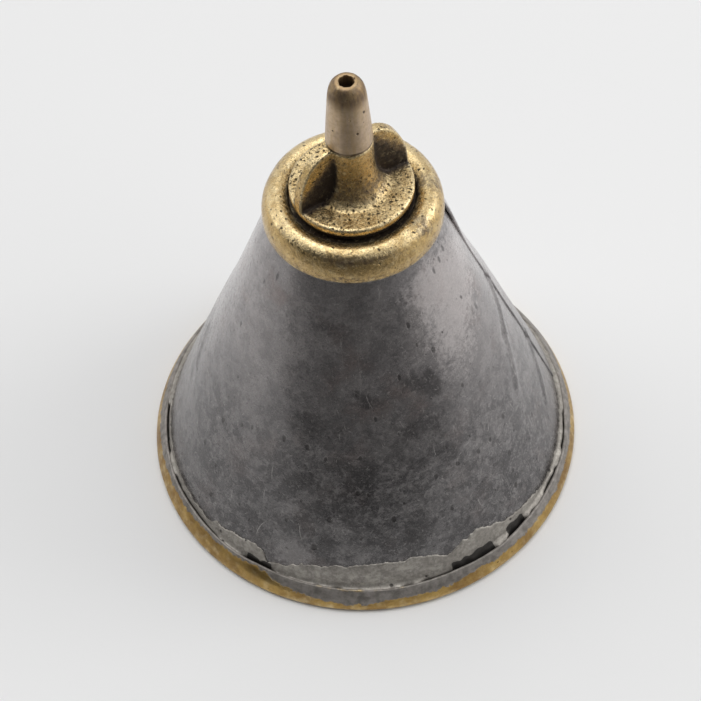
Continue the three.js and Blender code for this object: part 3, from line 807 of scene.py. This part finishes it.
def rolled_sheet(name):
    """The lapped sheet as a grid of columns round the cone, from its tucked-in end to its open outer edge. UVs are
    metres along the sheet and up it."""
    columns, rows = 330, 118
    lap = degrees(LAP_MM / cone_r(40))
    verts = []
    lies = []
    for i in range(columns + 1):
        gone = (360 + lap) * i / columns
        azimuth = LAP_EDGE + lap - gone
        from_edge = 360 + lap - gone
        for k in range(rows + 1):
            height = cone_low.z + (cone_top_z - cone_low.z) * k / rows
            reach = from_edge / 360 * 2 * pi * cone_r(height)
            lift = LAP_LIFT_LOW + (LAP_LIFT - LAP_LIFT_LOW) * ramp(height, 62, 76)
            over = lift * ramp(reach, LAP_MM + 9, LAP_MM - 0.5)
            gape = LAP_GAPE * ramp(height, 66, 77) * ramp(height, cone_top_z + 2, cone_top_z - 2)
            spring = gape * bump(reach, 0, 3.2)
            tucked = -0.08 * ramp(gone, lap, 0)
            verts.append(cone_point(azimuth, height, over + spring + tucked))
            lies.append((gone / 360 * 2 * pi * MEAN_R * MM, hypot(1, CONE_SLOPE) * height * MM))
    faces = [
        (i * (rows + 1) + k, i * (rows + 1) + k + 1, (i + 1) * (rows + 1) + k + 1, (i + 1) * (rows + 1) + k)
        for i in range(columns) for k in range(rows)
    ]
    sheet = finish_mesh(name, verts, faces)
    layer = sheet.data.uv_layers.new(name="sheet")
    for loop in sheet.data.loops:
        layer.data[loop.index].uv = lies[loop.vertex_index]
    wall = sheet.modifiers.new("wall", "SOLIDIFY")
    wall.thickness = CONE_SHEET * MM
    wall.offset = -1.0
    return sheet


cone = rolled_sheet("zinc_cone")
paint(cone, "stain", patchy(STAINS, 34))
paint(cone, "bloom_and_reflection", patchy(BLOOMS_AND_REFLECTIONS, 38))
cone.data.materials.append(zinc_sheet())
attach(cone, "can")
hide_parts("cone_body")

# ---------------------------------------------------------------------------------------------------------------
# Foot solder. Solder run into the channel between the cone and the hoop and wiped up over the cone's foot. It has
# missed the channel in places, which stay open and dark.
# ---------------------------------------------------------------------------------------------------------------
OPEN_SPANS = [  # azimuth, half its length in degrees, depth below the lip and width in mm
    (-178, 9, 1.8, 0.6), (-150, 12, 1.6, 0.5), (-123.5, 4.5, 2.2, 0.85), (-100, 1.0, 0.8, 0.3), (-81, 1.2, 1.0, 0.5),
    (-70, 7, 2.0, 0.55), (-60.5, 7, 2.6, 1.0), (-45.5, 4, 2.4, 0.95), (-38, 1.6, 1.6, 0.45), (-27, 5, 2.0, 0.6),
    (-10, 7, 1.8, 0.5), (40, 9, 1.6, 0.5), (95, 14, 2.0, 0.6), (130, 5, 1.5, 0.4),
]
CHANNEL_DEPTH = 3.4
SOLDER_FILM = 0.30
WIPED_EDGE = [  # azimuth, height of the solder's upper edge on the cone
    (-178, 5.9), (-160, 5.7), (-144, 6.1), (-139, 7.8), (-132, 8.6), (-127, 9.4), (-123, 9.0), (-121, 6.4),
    (-117, 7.2), (-110, 9.3), (-98, 10.6), (-92, 11.3), (-87, 11.0), (-78, 11.5), (-67, 9.2), (-62, 10.7),
    (-57, 11.6), (-52, 10.2), (-47, 8.4), (-39, 7.4), (-28, 5.9), (0, 6.0), (25, 8.5), (55, 6.8), (90, 10.0),
    (115, 7.4), (145, 8.8), (165, 6.2),
]


def channel_slot(azimuth):
    """Depth and width, in mm, of the open slot left between the solder and the hoop."""
    ragged = azimuth + 1.2 * sway(azimuth, 0, 4, 41) + 0.5 * sway(azimuth, 0, 1.2, 43)
    depth, width = 0.10 + 0.08 * sway(azimuth, 0, 5, 42), 0.1
    for where, half, deep, wide in OPEN_SPANS:
        share = ramp(abs(turned_by(ragged, where)), half + 1.2, half - 1.4)
        depth = max(depth, deep * share)
        width = max(width, wide * share * (1 + 0.4 * sway(azimuth, 0, 2.2, 46)))
    return depth, width


def wiped_edge(azimuth):
    """Height of the solder's upper edge on the cone, in mm."""
    ragged = 0.45 * sway(azimuth, 0, 3.3, 44) + 0.4 * sway(azimuth, 0, 1.1, 45) + 0.25 * sway(azimuth, 0, 0.5, 49)
    return max(along(WIPED_EDGE, azimuth) + ragged, LIP_Z + 0.4)


def foot_solder_outline(azimuth):
    depth, width = channel_slot(azimuth)
    at_wall = BASE_R - LIP_LEAN + lip_wander(azimuth) - 0.42
    level = LIP_Z - 0.12 + 0.06 * sway(azimuth, 0, 3, 48)
    floor_z = LIP_Z - CHANNEL_DEPTH
    points = [(beside_cone(azimuth, floor_z)[0], floor_z), (at_wall, floor_z), (at_wall, level - depth)]
    inner, start = beside_cone(azimuth, level + 0.35, 0.2)
    width = min(width, at_wall - inner - 0.12)
    points += [(at_wall - 0.55 * width, level - 0.9 * depth), (at_wall - width, level - 0.12)]
    points.append(((at_wall - width + inner) / 2, level + 0.12))
    edge = wiped_edge(azimuth)
    climb = 26
    for k in range(climb + 1):
        t = k / climb
        height = start + (edge - start) * t
        film = SOLDER_FILM * ramp(1 - t, 0, 0.05) * (1 + 0.35 * sway(azimuth, height, 4, 47)) - 0.04
        points.append(beside_cone(azimuth, height, film))
    points += [beside_cone(azimuth, start + (edge - start) * t, -0.25) for t in (1.0, 0.66, 0.33)]
    return points


def slot_shadow_and_dirt(azimuth, height):
    """1 just above an open slot, where the solder is painted nearly black with painted shadow and dirt."""
    width = channel_slot(azimuth)[1]
    reach = LIP_Z + 1.6 * (width - 0.3) + 0.35 * sway(azimuth, height, 1.6, 50)
    return ramp(width, 0.6, 0.8) * ramp(height, reach + 0.25, reach)


foot_solder = turned("wiped_foot_solder", foot_solder_outline, steps=900, sharp=70)
# Painted shadow and dirt just above the open slots, kept as the torn attribute.
paint(foot_solder, "torn", slot_shadow_and_dirt)
foot_solder.data.materials.append(SOLDER)
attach(foot_solder, "can")
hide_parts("foot_solder")

# ---------------------------------------------------------------------------------------------------------------
# Collar. A heavy ring cast in brass that closes the top of the cone. Its rounded crest is rubbed bright, it has brown
# dirt in patches, its dish under the flange is brown and black with painted shade, its front wall carries a band of
# painted dark reflection, its lower wall turns browner towards its foot, and a right-handed thread for the spout plug
# is cut inside it.
# ---------------------------------------------------------------------------------------------------------------
THREAD_LEAD = 1.8
THREAD_DEPTH = 0.85
CREST_FLAT = 0.5
ROOT_WIDTH = 1.1


def thread_height(azimuth, height, spread):
    """How far up its flank a thread stands at a spot, from 0 at its root to 1 on its crest."""
    turns = height / THREAD_LEAD - azimuth / 360
    off = abs(turns - floor(turns + 0.5)) * THREAD_LEAD
    return 1 - ramp(off, CREST_FLAT / 2 + spread, ROOT_WIDTH / 2 + spread)


SHOULDER_Z = 80.8
CREST_Z = collar_high.z
SEAT_Z = CREST_Z - 1.8
COLLAR_R = collar_high.x - 0.05
BORE_R = 8.34
DISH_R = 12.8
SPIGOT_R = 16.45


def collar_outline(azimuth):
    worn = 0.10 * sway(azimuth, 0, 12, 51) + 0.03 * sway(azimuth, 0, 3, 52)
    dish = 0.12 * sway(azimuth, 0, 10, 53)
    r = COLLAR_R + min(worn, 0) * 0.6
    crest = CREST_Z - 0.05 + 0.4 * worn
    outer = smooth_line([
        (r - 0.7, SHOULDER_Z), (r - 0.22, SHOULDER_Z + 0.06), (r - 0.03, SHOULDER_Z + 0.45), (r, SHOULDER_Z + 1.4),
        (r - 0.08, SHOULDER_Z + 2.7), (r - 0.38, SHOULDER_Z + 4.0), (r - 1.05, crest - 1.55), (r - 1.9, crest - 0.62),
        (r - 2.9, crest - 0.08), (r - 3.6, crest), (r - 4.3, crest - 0.2 + 0.3 * dish),
        (r - 4.9, crest - 0.5 + 0.3 * dish), (DISH_R + 0.45 + 0.3 * dish, CREST_Z - 0.9),
        (DISH_R + 0.15, CREST_Z - 1.35), (DISH_R, SEAT_Z),
    ], 5)
    bore = [(BORE_R + 0.5, SEAT_Z), (BORE_R + 0.1, SEAT_Z - 0.35)]
    low = collar_low.z + 0.05
    rows = 62
    for k in range(rows + 1):
        height = SEAT_Z - 0.5 - (SEAT_Z - 0.5 - low) * k / rows
        bore.append((BORE_R + THREAD_DEPTH * thread_height(azimuth, height, 0.25), height))
    spigot = [(BORE_R + 1, low), (SPIGOT_R - 0.25, low), (SPIGOT_R, low + 0.25), (SPIGOT_R, SHOULDER_Z)]
    return [*outer, *bore, *spigot]


CAST_BRASS = (0.62, 0.435, 0.185)
CAST_BRASS_WORN_AND_LIT = (0.90, 0.75, 0.46)
CAST_BRASS_BROWN = (0.20, 0.115, 0.05)


def cast_brass(name, pit_share, pit_size, brown_share, worn_share, shelter, rough_skin, polish):
    """Cast brass, tarnished brown, black with old dirt and painted shade in its corners and rubbed bright where it is
    handled. The pits are blow holes, level faces are a little brighter, partly rubbed and partly a painted highlight,
    and what is painted on as dirt and shade turns brown and black."""
    finish, tree, shader = new_finish(name)
    place = object_place(tree)
    level = between(tree, parts_of(tree, tree.nodes.new("ShaderNodeNewGeometry").outputs["Normal"])["Z"], 0.55, 0.75)
    steep = inverse(tree, level)
    wear = use_group(tree, EDGE_WEAR, Vector=place, Spread=0.035, Patch_Size=1.6)
    broad = between(tree, cloud(tree, place, 5, 6, 0.68, 0.5), 0.42, 0.62)
    fine = between(tree, cloud(tree, place, 0.8, 5, 0.7, 0.3, seed=4.0), 0.42, 0.62)
    grime = between(tree, cloud(tree, place, 2.0, 6, 0.72, 0.4, seed=7.0), 0.52, 0.66)
    crowd = between(tree, cloud(tree, place, 5, 3, 0.6, seed=13.0), 0.36, 0.52, 0.35, 1.0)
    share = times(tree, crowd, pit_share)
    holes = 0.0
    for group, here in ((PITS, steep), (FLAT_PITS, level)):
        for spacing, strength in ((pit_size, 1.0), (pit_size * 0.5, 0.85)):
            pits = use_group(tree, group, Vector=place, Spacing=spacing, Reach=0.33, Share=share)["Mask"]
            holes = sum_of(tree, "MAXIMUM", holes, times(tree, times(tree, pits, here), strength))
    lines = use_group(tree, SCRATCHES, Vector=stretched(tree, place, (1, 1, 3), (0, 0, 30)), Spacing=2.2,
                      Width=0.014, Share=0.56)["Mask"]
    ticks = use_group(tree, TICKS, Vector=place, Spacing=0.9, Length=1.0, Width=0.07, Share=0.6)["Mask"]
    lines = sum_of(tree, "MAXIMUM", lines, times(tree, ticks, level))
    # Level faces are lightened towards worn brass: partly rubbed, partly a painted highlight on faces that look up.
    colour = layered(tree, CAST_BRASS, [
        (broad, brown_share, CAST_BRASS_BROWN), (fine, brown_share, (0.30, 0.185, 0.07)),
        (grime, brown_share, (0.12, 0.075, 0.045)), (level, between(tree, broad, 0, 1, 0.45, 0.15), CAST_BRASS_WORN_AND_LIT),
    ])
    # Painted shade and dirt: corners found by ambient occlusion, and the painted attribute, turn brown and black.
    corner = corner_shade_and_dirt(tree, shelter, 0.8, 0.3)
    uneven = sum_of(tree, "MULTIPLY_ADD", cloud(tree, place, 1.0, 6, 0.72, seed=11.0), 1.3, -0.65)
    dirt_and_shade = sum_of(tree, "ADD", sum_of(tree, "MAXIMUM", corner, painted(tree, "dirt_and_shade")), uneven)
    brown = between(tree, dirt_and_shade, 0.18, 0.6)
    black = between(tree, dirt_and_shade, 0.45, 0.9)
    colour = layered(tree, colour, [
        (brown, 0.8, (0.11, 0.078, 0.054)), (black, 0.93, (0.028, 0.019, 0.015)), (lines, 0.45, CAST_BRASS_WORN_AND_LIT),
        (wear["Rubbed"], worn_share, CAST_BRASS_WORN_AND_LIT), (holes, 0.92, (0.02, 0.012, 0.008)),
    ])
    satin = between(tree, fine, 0, 1, polish, polish + 0.13)
    relief = raised(tree, cloud(tree, place, 1.8, 6, 0.62, seed=9.0), rough_skin)
    relief = raised(tree, fine, 0.03, relief)
    relief = raised(tree, inverse(tree, lines), 0.025, relief)
    fill(tree, shader, Base_Color=colour, Roughness=sum_of(tree, "MULTIPLY_ADD", black, 0.25, satin),
         Metallic=sum_of(tree, "MULTIPLY_ADD", brown, -0.35, 0.95),
         Normal=raised(tree, inverse(tree, holes), 0.2, relief))
    return finish


COLLAR_DIRT = [  # azimuth, height, width and strength of the brown patches on the crest and the wall
    (-35, 87, 3.0, 0.5), (5, 87, 3.5, 0.45), (-150, 87.5, 2.0, 0.3), (-100, 84.5, 3.0, 0.15), (60, 86, 4, 0.4),
    (150, 86, 4, 0.35),
]


# Dirt and painted light on the collar: painted shade in the dish under the flange, a painted dark reflection on the
# front wall, brown patches of dirt, and a wall that turns browner towards its foot.
def collar_dirt_and_shade(corner):
    azimuth, r, z = degrees(atan2(corner.y, corner.x)), hypot(corner.x, corner.y), corner.z
    # Painted shade under the flange's edge.
    groove = ramp(r, 13.75 + 0.5 * sway(azimuth, 0, 3, 54), 13.0) * ramp(z, SEAT_Z - 1, SEAT_Z)
    spots = 0
    for where, level, width, strength in COLLAR_DIRT:
        off = hypot(radians(turned_by(azimuth, where)) * r, z - level)
        spots += strength * bump(off, 0, width)
    under = 0.3 * ramp(z, SHOULDER_Z + 3.5, SHOULDER_Z + 1) + 0.2 * ramp(z, SHOULDER_Z + 0.7, SHOULDER_Z)
    # Painted reflection of the dark room ahead, on the front of the wall.
    band = 0.5 * bump(z, CREST_Z - 1.5, 1.1) * bump(turned_by(azimuth, -88), 0, 38) * ramp(r, 15.8, 16.8)
    return 0.75 * groove + spots + band + under * ramp(r, 17, 18)


collar = turned("brass_collar", collar_outline, steps=360, sharp=50)
paint_spots(collar, "dirt_and_shade", collar_dirt_and_shade)
COLLAR_BRASS = cast_brass("collar_brass", pit_share=0.14, pit_size=1.0, brown_share=0.24, worn_share=0.6, shelter=0.6,
                          rough_skin=0.11, polish=0.15)
collar.data.materials.append(COLLAR_BRASS)
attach(collar, "can")
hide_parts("collar")


def neck_solder_outline(azimuth):
    swell = 0.25 * sway(azimuth, 0, 8, 61) + 0.12 * sway(azimuth, 0, 2, 62)
    low = SHOULDER_Z - 0.85 + swell
    return [
        beside_cone(azimuth, low, -0.1), beside_cone(azimuth, low + 0.15, 0.18),
        (COLLAR_R - 0.35 + 0.3 * swell, SHOULDER_Z - 0.3), (COLLAR_R - 0.45, SHOULDER_Z - 0.02),
        (beside_cone(azimuth, SHOULDER_Z - 0.1, -0.15)[0], SHOULDER_Z - 0.02),
    ]


neck_solder = turned("solder_under_the_collar", neck_solder_outline, steps=360, sharp=70)
neck_solder.data.materials.append(SOLDER)
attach(neck_solder, "can")
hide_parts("neck_solder")

# ---------------------------------------------------------------------------------------------------------------
# Sealing washer. A ring cut from thick leather, black with oil, squeezed between the plug's flange and the collar.
# ---------------------------------------------------------------------------------------------------------------
washer_low, washer_high = box_of("sealing_washer")
WASHER_HOLE = 9.3


def washer_outline(azimuth):
    bulge = 0.12 * sway(azimuth, 0, 5, 71)
    r = washer_high.x - 0.15 + bulge
    low, high = washer_low.z - 0.2, washer_high.z + 0.2
    middle = (low + high) / 2
    side = smooth_line([(r - 0.5, low), (r - 0.1, low + 0.3), (r, middle), (r - 0.1, high - 0.3), (r - 0.5, high)], 4)
    return [(WASHER_HOLE, low), *side, (WASHER_HOLE, high), (WASHER_HOLE - 0.1, middle)]


def oiled_leather():
    finish, tree, shader = new_finish("oiled_leather")
    grain = cloud(tree, object_place(tree), 0.6, 6, 0.7)
    worn = between(tree, grain, 0.35, 0.7)
    fill(tree, shader, Base_Color=blended(tree, worn, (0.012, 0.008, 0.006), (0.05, 0.03, 0.018)),
         Roughness=between(tree, worn, 0.0, 1.0, 0.45, 0.8), Normal=raised(tree, grain, 0.15))
    return finish


washer = turned("leather_washer", washer_outline, steps=200)
washer.data.materials.append(oiled_leather())
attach(washer, "washer")
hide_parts("sealing_washer")

# ---------------------------------------------------------------------------------------------------------------
# Spout plug. One brass casting: a round flange, a tapering boss and two finger lugs, which flow into each other in
# the mould's rounded corners. Below the flange it is turned and threaded, and it is bored through for the oil.
# ---------------------------------------------------------------------------------------------------------------
plug_low, plug_high = box_of("spout_plug")
tube_low, tube_high = box_of("spout_tube")
FLANGE_R = 12.72
FLANGE_T = 1.9
FLANGE_TOP = 90.0
FLANGE_LOW = FLANGE_TOP - FLANGE_T
BOSS_TOP = plug_high.z
BOSS_H = BOSS_TOP - FLANGE_TOP
BOSS_R = 4.75
LUG_AZIMUTH = 29.0
LUG_REACH = 12.65
LUG_H = 13.1
LUG_T = 2.3
NECK_R = 8.0
NECK_BORE = 5.5
PASSAGE_R = 2.6
SOCKET_R = 3.75
SOCKET_DEPTH = 6
RIDGE_DEPTH = 0.92


def boss_r(height):
    return BOSS_R + 3.2 * exp(-height / 2.4) * (1 - height / BOSS_H) - 0.02


def casting_outline(azimuth):
    low, top = FLANGE_LOW, FLANGE_TOP
    flange = [(0, low), (FLANGE_R - 0.45, low), (FLANGE_R - 0.12, low + 0.12), (FLANGE_R, low + 0.45),
              (FLANGE_R, top - 0.5), (FLANGE_R - 0.14, top - 0.14), (FLANGE_R - 0.5, top)]
    boss = [(boss_r(h), top + h) for h in (0.0, 0.4, 0.9, 1.6, 2.6, 4, 6, 8.5, 11, BOSS_H)]
    return [*flange, *boss, (0, BOSS_TOP)]


def lug_plate(name):
    """Both lugs as one plate through the boss, thicker at its foot than at its rounded top."""
    arc = [radians(90 * k / 14) for k in range(15)]
    rim = [(BOSS_R + (LUG_REACH - BOSS_R) * cos(a), LUG_H * sin(a)) for a in arc]
    half = [(LUG_REACH, -FLANGE_T / 2), *rim]
    edge = [*half, *((-x, z) for x, z in reversed(half))]
    verts = []
    for side in (-1, 1):
        verts += [(x, side * (LUG_T / 2 + 0.25 * (1 - max(z, 0) / LUG_H)), FLANGE_TOP + z) for x, z in edge]
    count = len(edge)
    faces = [tuple(range(count)), tuple(range(2 * count - 1, count - 1, -1))]
    faces += [(k + count, (k + 1) % count + count, (k + 1) % count, k) for k in range(count)]
    plate = finish_mesh(name, verts, faces)
    plate.data.transform(Matrix.Rotation(radians(LUG_AZIMUTH), 4, "Z"))
    return plate


def joined(first, others, name):
    """One mesh from several overlapping closed ones, which are used up."""
    bm = bmesh.new()
    for piece in (first, *others):
        bm.from_mesh(piece.data)
    mesh = bpy.data.meshes.new(name)
    bm.to_mesh(mesh)
    bm.free()
    for piece in (first, *others):
        bpy.data.objects.remove(piece)
    whole = bpy.data.objects.new(name, mesh)
    studio.collection.objects.link(whole)
    return whole


def shade_smooth(mesh, sharp=50):
    mesh.polygons.foreach_set("use_smooth", [True] * len(mesh.polygons))
    mesh.set_sharp_from_angle(angle=radians(sharp))


def settle(piece):
    """Turns a piece's modifiers into its mesh."""
    solid = bpy.data.meshes.new_from_object(piece.evaluated_get(bpy.context.evaluated_depsgraph_get()))
    piece.modifiers.clear()
    piece.data = solid
    shade_smooth(solid)


def neck_outline(azimuth):
    low = plug_low.z + 0.02
    top = FLANGE_LOW + 0.15
    return [(NECK_R - 0.45, low), (NECK_R - 0.1, low + 0.12), (NECK_R, low + 0.4), (NECK_R, top), (NECK_BORE, top),
            (NECK_BORE, low)]


def thread_tree():
    """A right-handed thread's ridge that climbs from its start height. All lengths are in metres."""
    tree, given, made = new_group(
        "thread ridge",
        [("Root Radius", "Float"), ("Lead", "Float"), ("Turns", "Float"), ("Start Height", "Float"),
         ("Depth", "Float"), ("Crest Width", "Float"), ("Root Width", "Float"), ("Finish", "Material")],
        [("Geometry", "Geometry")],
        "GeometryNodeTree",
    )
    middle = sum_of(tree, "MULTIPLY_ADD", given["Depth"], 0.5, given["Root Radius"])
    spiral = new_node(tree, "GeometryNodeCurveSpiral", Resolution=96, Rotations=given["Turns"], Start_Radius=middle,
                      End_Radius=middle, Height=times(tree, given["Lead"], given["Turns"]), Reverse=True)
    level = new_node(tree, "GeometryNodeSetCurveNormal", [("mode", "Z_UP")], Curve=spiral.outputs["Curve"])
    section = new_node(tree, "GeometryNodeCurvePrimitiveQuadrilateral", [("mode", "TRAPEZOID")], Height=given["Depth"],
                       Bottom_Width=given["Root Width"], Top_Width=given["Crest Width"], Offset=0.0)
    upright = new_node(tree, "GeometryNodeTransform", Geometry=section.outputs["Curve"], Rotation=(0, 0, -pi / 2))
    ridge = new_node(tree, "GeometryNodeCurveToMesh", Curve=level.outputs["Curve"],
                     Profile_Curve=upright.outputs["Geometry"], Fill_Caps=True)
    lift = new_node(tree, "ShaderNodeCombineXYZ", Z=given["Start Height"])
    placed = new_node(tree, "GeometryNodeTransform", Geometry=ridge.outputs["Mesh"],
                      Translation=lift.outputs["Vector"])
    real = new_node(tree, "GeometryNodeRealizeInstances", Geometry=placed.outputs["Geometry"])
    coated = new_node(tree, "GeometryNodeSetMaterial", Geometry=real.outputs["Geometry"], Material=given["Finish"])
    put(tree, made["Geometry"], coated.outputs["Geometry"])
    return tree


def thread_ridge(name, finish):
    ridge = bpy.data.objects.new(name, bpy.data.meshes.new(name))
    studio.collection.objects.link(ridge)
    winding = ridge.modifiers.new("winding", "NODES")
    winding.node_group = thread_tree()
    low, high = plug_low.z + 1.3, SEAT_Z - 1.1
    sizes = {
        "Root Radius": (NECK_R - 0.05) * MM, "Lead": THREAD_LEAD * MM, "Turns": (high - low) / THREAD_LEAD,
        "Start Height": low * MM, "Depth": RIDGE_DEPTH * MM, "Crest Width": CREST_FLAT * MM,
        "Root Width": ROOT_WIDTH * MM, "Finish": finish,
    }
    for socket in winding.node_group.interface.items_tree:
        if socket.in_out == "INPUT":
            winding[socket.identifier] = sizes[socket.name]
    bpy.context.view_layer.update()
    settle(ridge)
    return ridge


def bore_outline(azimuth):
    low, seat = plug_low.z - 1, BOSS_TOP - SOCKET_DEPTH
    return [(0, low), (NECK_BORE, low), (NECK_BORE, FLANGE_LOW - 0.5), (PASSAGE_R, FLANGE_TOP + 2.5),
            (PASSAGE_R, seat), (SOCKET_R, seat), (SOCKET_R, BOSS_TOP + 1), (0, BOSS_TOP + 1)]


def plug_painted_shade(corner):
    """Painted shade: thick in the corners between the lugs, the boss and the flange, thin towards the lugs' tops, and
    under the flange.
    """
    a = radians(LUG_AZIMUTH)
    along_lug = corner.x * cos(a) + corner.y * sin(a)
    out = abs(along_lug)
    aside = abs(corner.y * cos(a) - corner.x * sin(a))
    up = corner.z - FLANGE_TOP
    spread = LUG_T / 2 + 2.6 - 0.12 * up
    beside = ramp(aside, spread, LUG_T / 2 + 0.2) * ramp(aside, LUG_T / 2 - 0.6, LUG_T / 2 - 0.1)
    far_up = out / LUG_REACH + up / LUG_H
    deep = ramp(far_up, 1.60, 0.95) if along_lug > 0 else ramp(far_up, 1.42, 1.0)
    on_lug = beside * deep * ramp(out, 2.6, 4.2) * ramp(up, -0.5, 0.1)
    on_boss = 0.5 * ramp(hypot(corner.x, corner.y), 9.5, 5.5) * ramp(up, 13, 1)
    below = 0.8 * ramp(up, -FLANGE_T + 0.5, -FLANGE_T)
    return max(on_lug, on_boss, below)


VOXEL = 0.24
plug = joined(turned("casting", casting_outline, 192), [lug_plate("lugs")], "brass_plug")
melt = plug.modifiers.new("melt", "REMESH")
melt.mode = "VOXEL"
melt.voxel_size = VOXEL * MM
soften = plug.modifiers.new("soften", "SMOOTH")
soften.factor = 0.5
soften.iterations = 9
settle(plug)
bore = turned("bore", bore_outline, 96)
drill = plug.modifiers.new("drill", "BOOLEAN")
drill.operation = "DIFFERENCE"
drill.object = bore
settle(plug)
bpy.data.objects.remove(bore)
PLUG_BRASS = cast_brass("plug_brass", pit_share=0.85, pit_size=1.0, brown_share=0.3, worn_share=0.5, shelter=3.0,
                        rough_skin=0.15, polish=0.20)
ridge = thread_ridge("thread", PLUG_BRASS)
plug = joined(plug, [turned("neck", neck_outline, 240), ridge], "brass_plug")
shade_smooth(plug.data)
# Painted shade on the plug: the lug faces, the boss's foot and the flange's underside darken through this attribute.
paint_spots(plug, "dirt_and_shade", plug_painted_shade)
plug.data.materials.append(PLUG_BRASS)
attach(plug, "spout")
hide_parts("spout_plug")

# ---------------------------------------------------------------------------------------------------------------
# Spout tube. A drawn brass tube that tapers to a rounded tip with a small hole, soldered into the boss. It is a
# duller, greyer brass than the casting, with a bright ring worn round the hole.
# ---------------------------------------------------------------------------------------------------------------
TIP_Z = tube_high.z
TIP_HOLE = 1.5
TUBE_BORE = 2.3
TUBE_SEAT_R = 3.6


def tube_outline(azimuth):
    low = tube_low.z + 0.02
    joint = BOSS_TOP + 0.06
    wander = 0.03 * sway(azimuth, 0, 16, 81)
    hole = TIP_HOLE + 0.10 * sway(azimuth, 0, 40, 82) + 0.13 * sway(azimuth, 0, 22, 83)
    side = smooth_line([
        (BOSS_R - 0.16, joint), (BOSS_R - 0.03, joint + 0.14), (BOSS_R - 0.02, joint + 0.6), (4.62, BOSS_TOP + 2.4),
        (4.42, BOSS_TOP + 5), (4.18, BOSS_TOP + 8), (3.93, BOSS_TOP + 11.2), (3.72, BOSS_TOP + 13.2),
        (3.42, TIP_Z - 1.7), (3.0, TIP_Z - 0.85), (2.55, TIP_Z - 0.32), (2.2, TIP_Z - 0.1), (hole + 0.25, TIP_Z - 0.02),
        (hole + 0.03, TIP_Z - 0.12), (hole - 0.02, TIP_Z - 0.5),
    ], 5)
    side = [(r + wander, z) for r, z in side]
    foot = [(TUBE_BORE, low), (TUBE_SEAT_R, low), (TUBE_SEAT_R, joint)]
    return [*foot, *side, (hole, TIP_Z - 2), (TUBE_BORE, TIP_Z - 5)]


def tube_brass():
    finish, tree, shader = new_finish("dull_tube_brass")
    place = object_place(tree)
    height = parts_of(tree, place)["Z"]
    wear = use_group(tree, EDGE_WEAR, Vector=place, Spread=0.03)
    broad = between(tree, cloud(tree, place, 5, 5, 0.6), 0.34, 0.68)
    fine = between(tree, cloud(tree, place, 0.8, 5, 0.65, seed=3.0), 0.34, 0.7)
    pits = use_group(tree, PITS, Vector=stretched(tree, place, (1, 1, 0.7)), Spacing=1.6, Reach=0.28,
                     Share=0.4)["Mask"]
    lines = use_group(tree, SCRATCHES, Vector=stretched(tree, place, (1, 1, 0.15)), Spacing=1.6, Share=0.56)["Mask"]
    shoulder = times(tree, between(tree, height, (TIP_Z - 5.5) * MM, (TIP_Z - 2.2) * MM), 0.85)
    streak = between(tree, cloud(tree, stretched(tree, place, (1, 1, 0.12)), 0.7, 4, 0.6, seed=15.0), 0.42, 0.6)
    joint = between(tree, sum_of(tree, "ABSOLUTE", sum_of(tree, "SUBTRACT", height, (BOSS_TOP + 0.4) * MM)),
                    0.45 * MM, 0.28 * MM)
    colour = blended(tree, broad, (0.52, 0.395, 0.285), (0.62, 0.47, 0.32))
    colour = blended(tree, times(tree, fine, 0.3), colour, (0.24, 0.18, 0.11))
    colour = layered(tree, blended(tree, shoulder, colour, (0.15, 0.098, 0.06)), [
        (painted(tree, "land"), 0.8, (0.50, 0.35, 0.20)), (streak, 0.3, (0.50, 0.345, 0.15)),
        (joint, between(tree, broad, 0, 1, 0.5, 0.95), (0.03, 0.02, 0.013)), (lines, 0.3, (0.6, 0.5, 0.32)),
        (wear["Rubbed"], 0.4, (0.66, 0.53, 0.32)), (pits, 0.8, (0.03, 0.02, 0.012)),
    ])
    dull = sum_of(tree, "MULTIPLY_ADD", shoulder, 0.2, between(tree, fine, 0.0, 1.0, 0.32, 0.44))
    relief = raised(tree, cloud(tree, place, 1.4, 5, 0.6, seed=5.0), 0.06)
    fill(tree, shader, Base_Color=colour, Roughness=dull, Metallic=0.9,
         Normal=raised(tree, inverse(tree, pits), 0.12, relief))
    return finish


tube = turned("spout", tube_outline, steps=240, sharp=60)
paint_spots(tube, "land", lambda c: ramp(hypot(c.x, c.y), 2.35, 2.0) * ramp(c.z, TIP_Z - 1.5, TIP_Z - 0.8))
tube.data.materials.append(tube_brass())
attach(tube, "spout")
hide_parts("spout_tube")
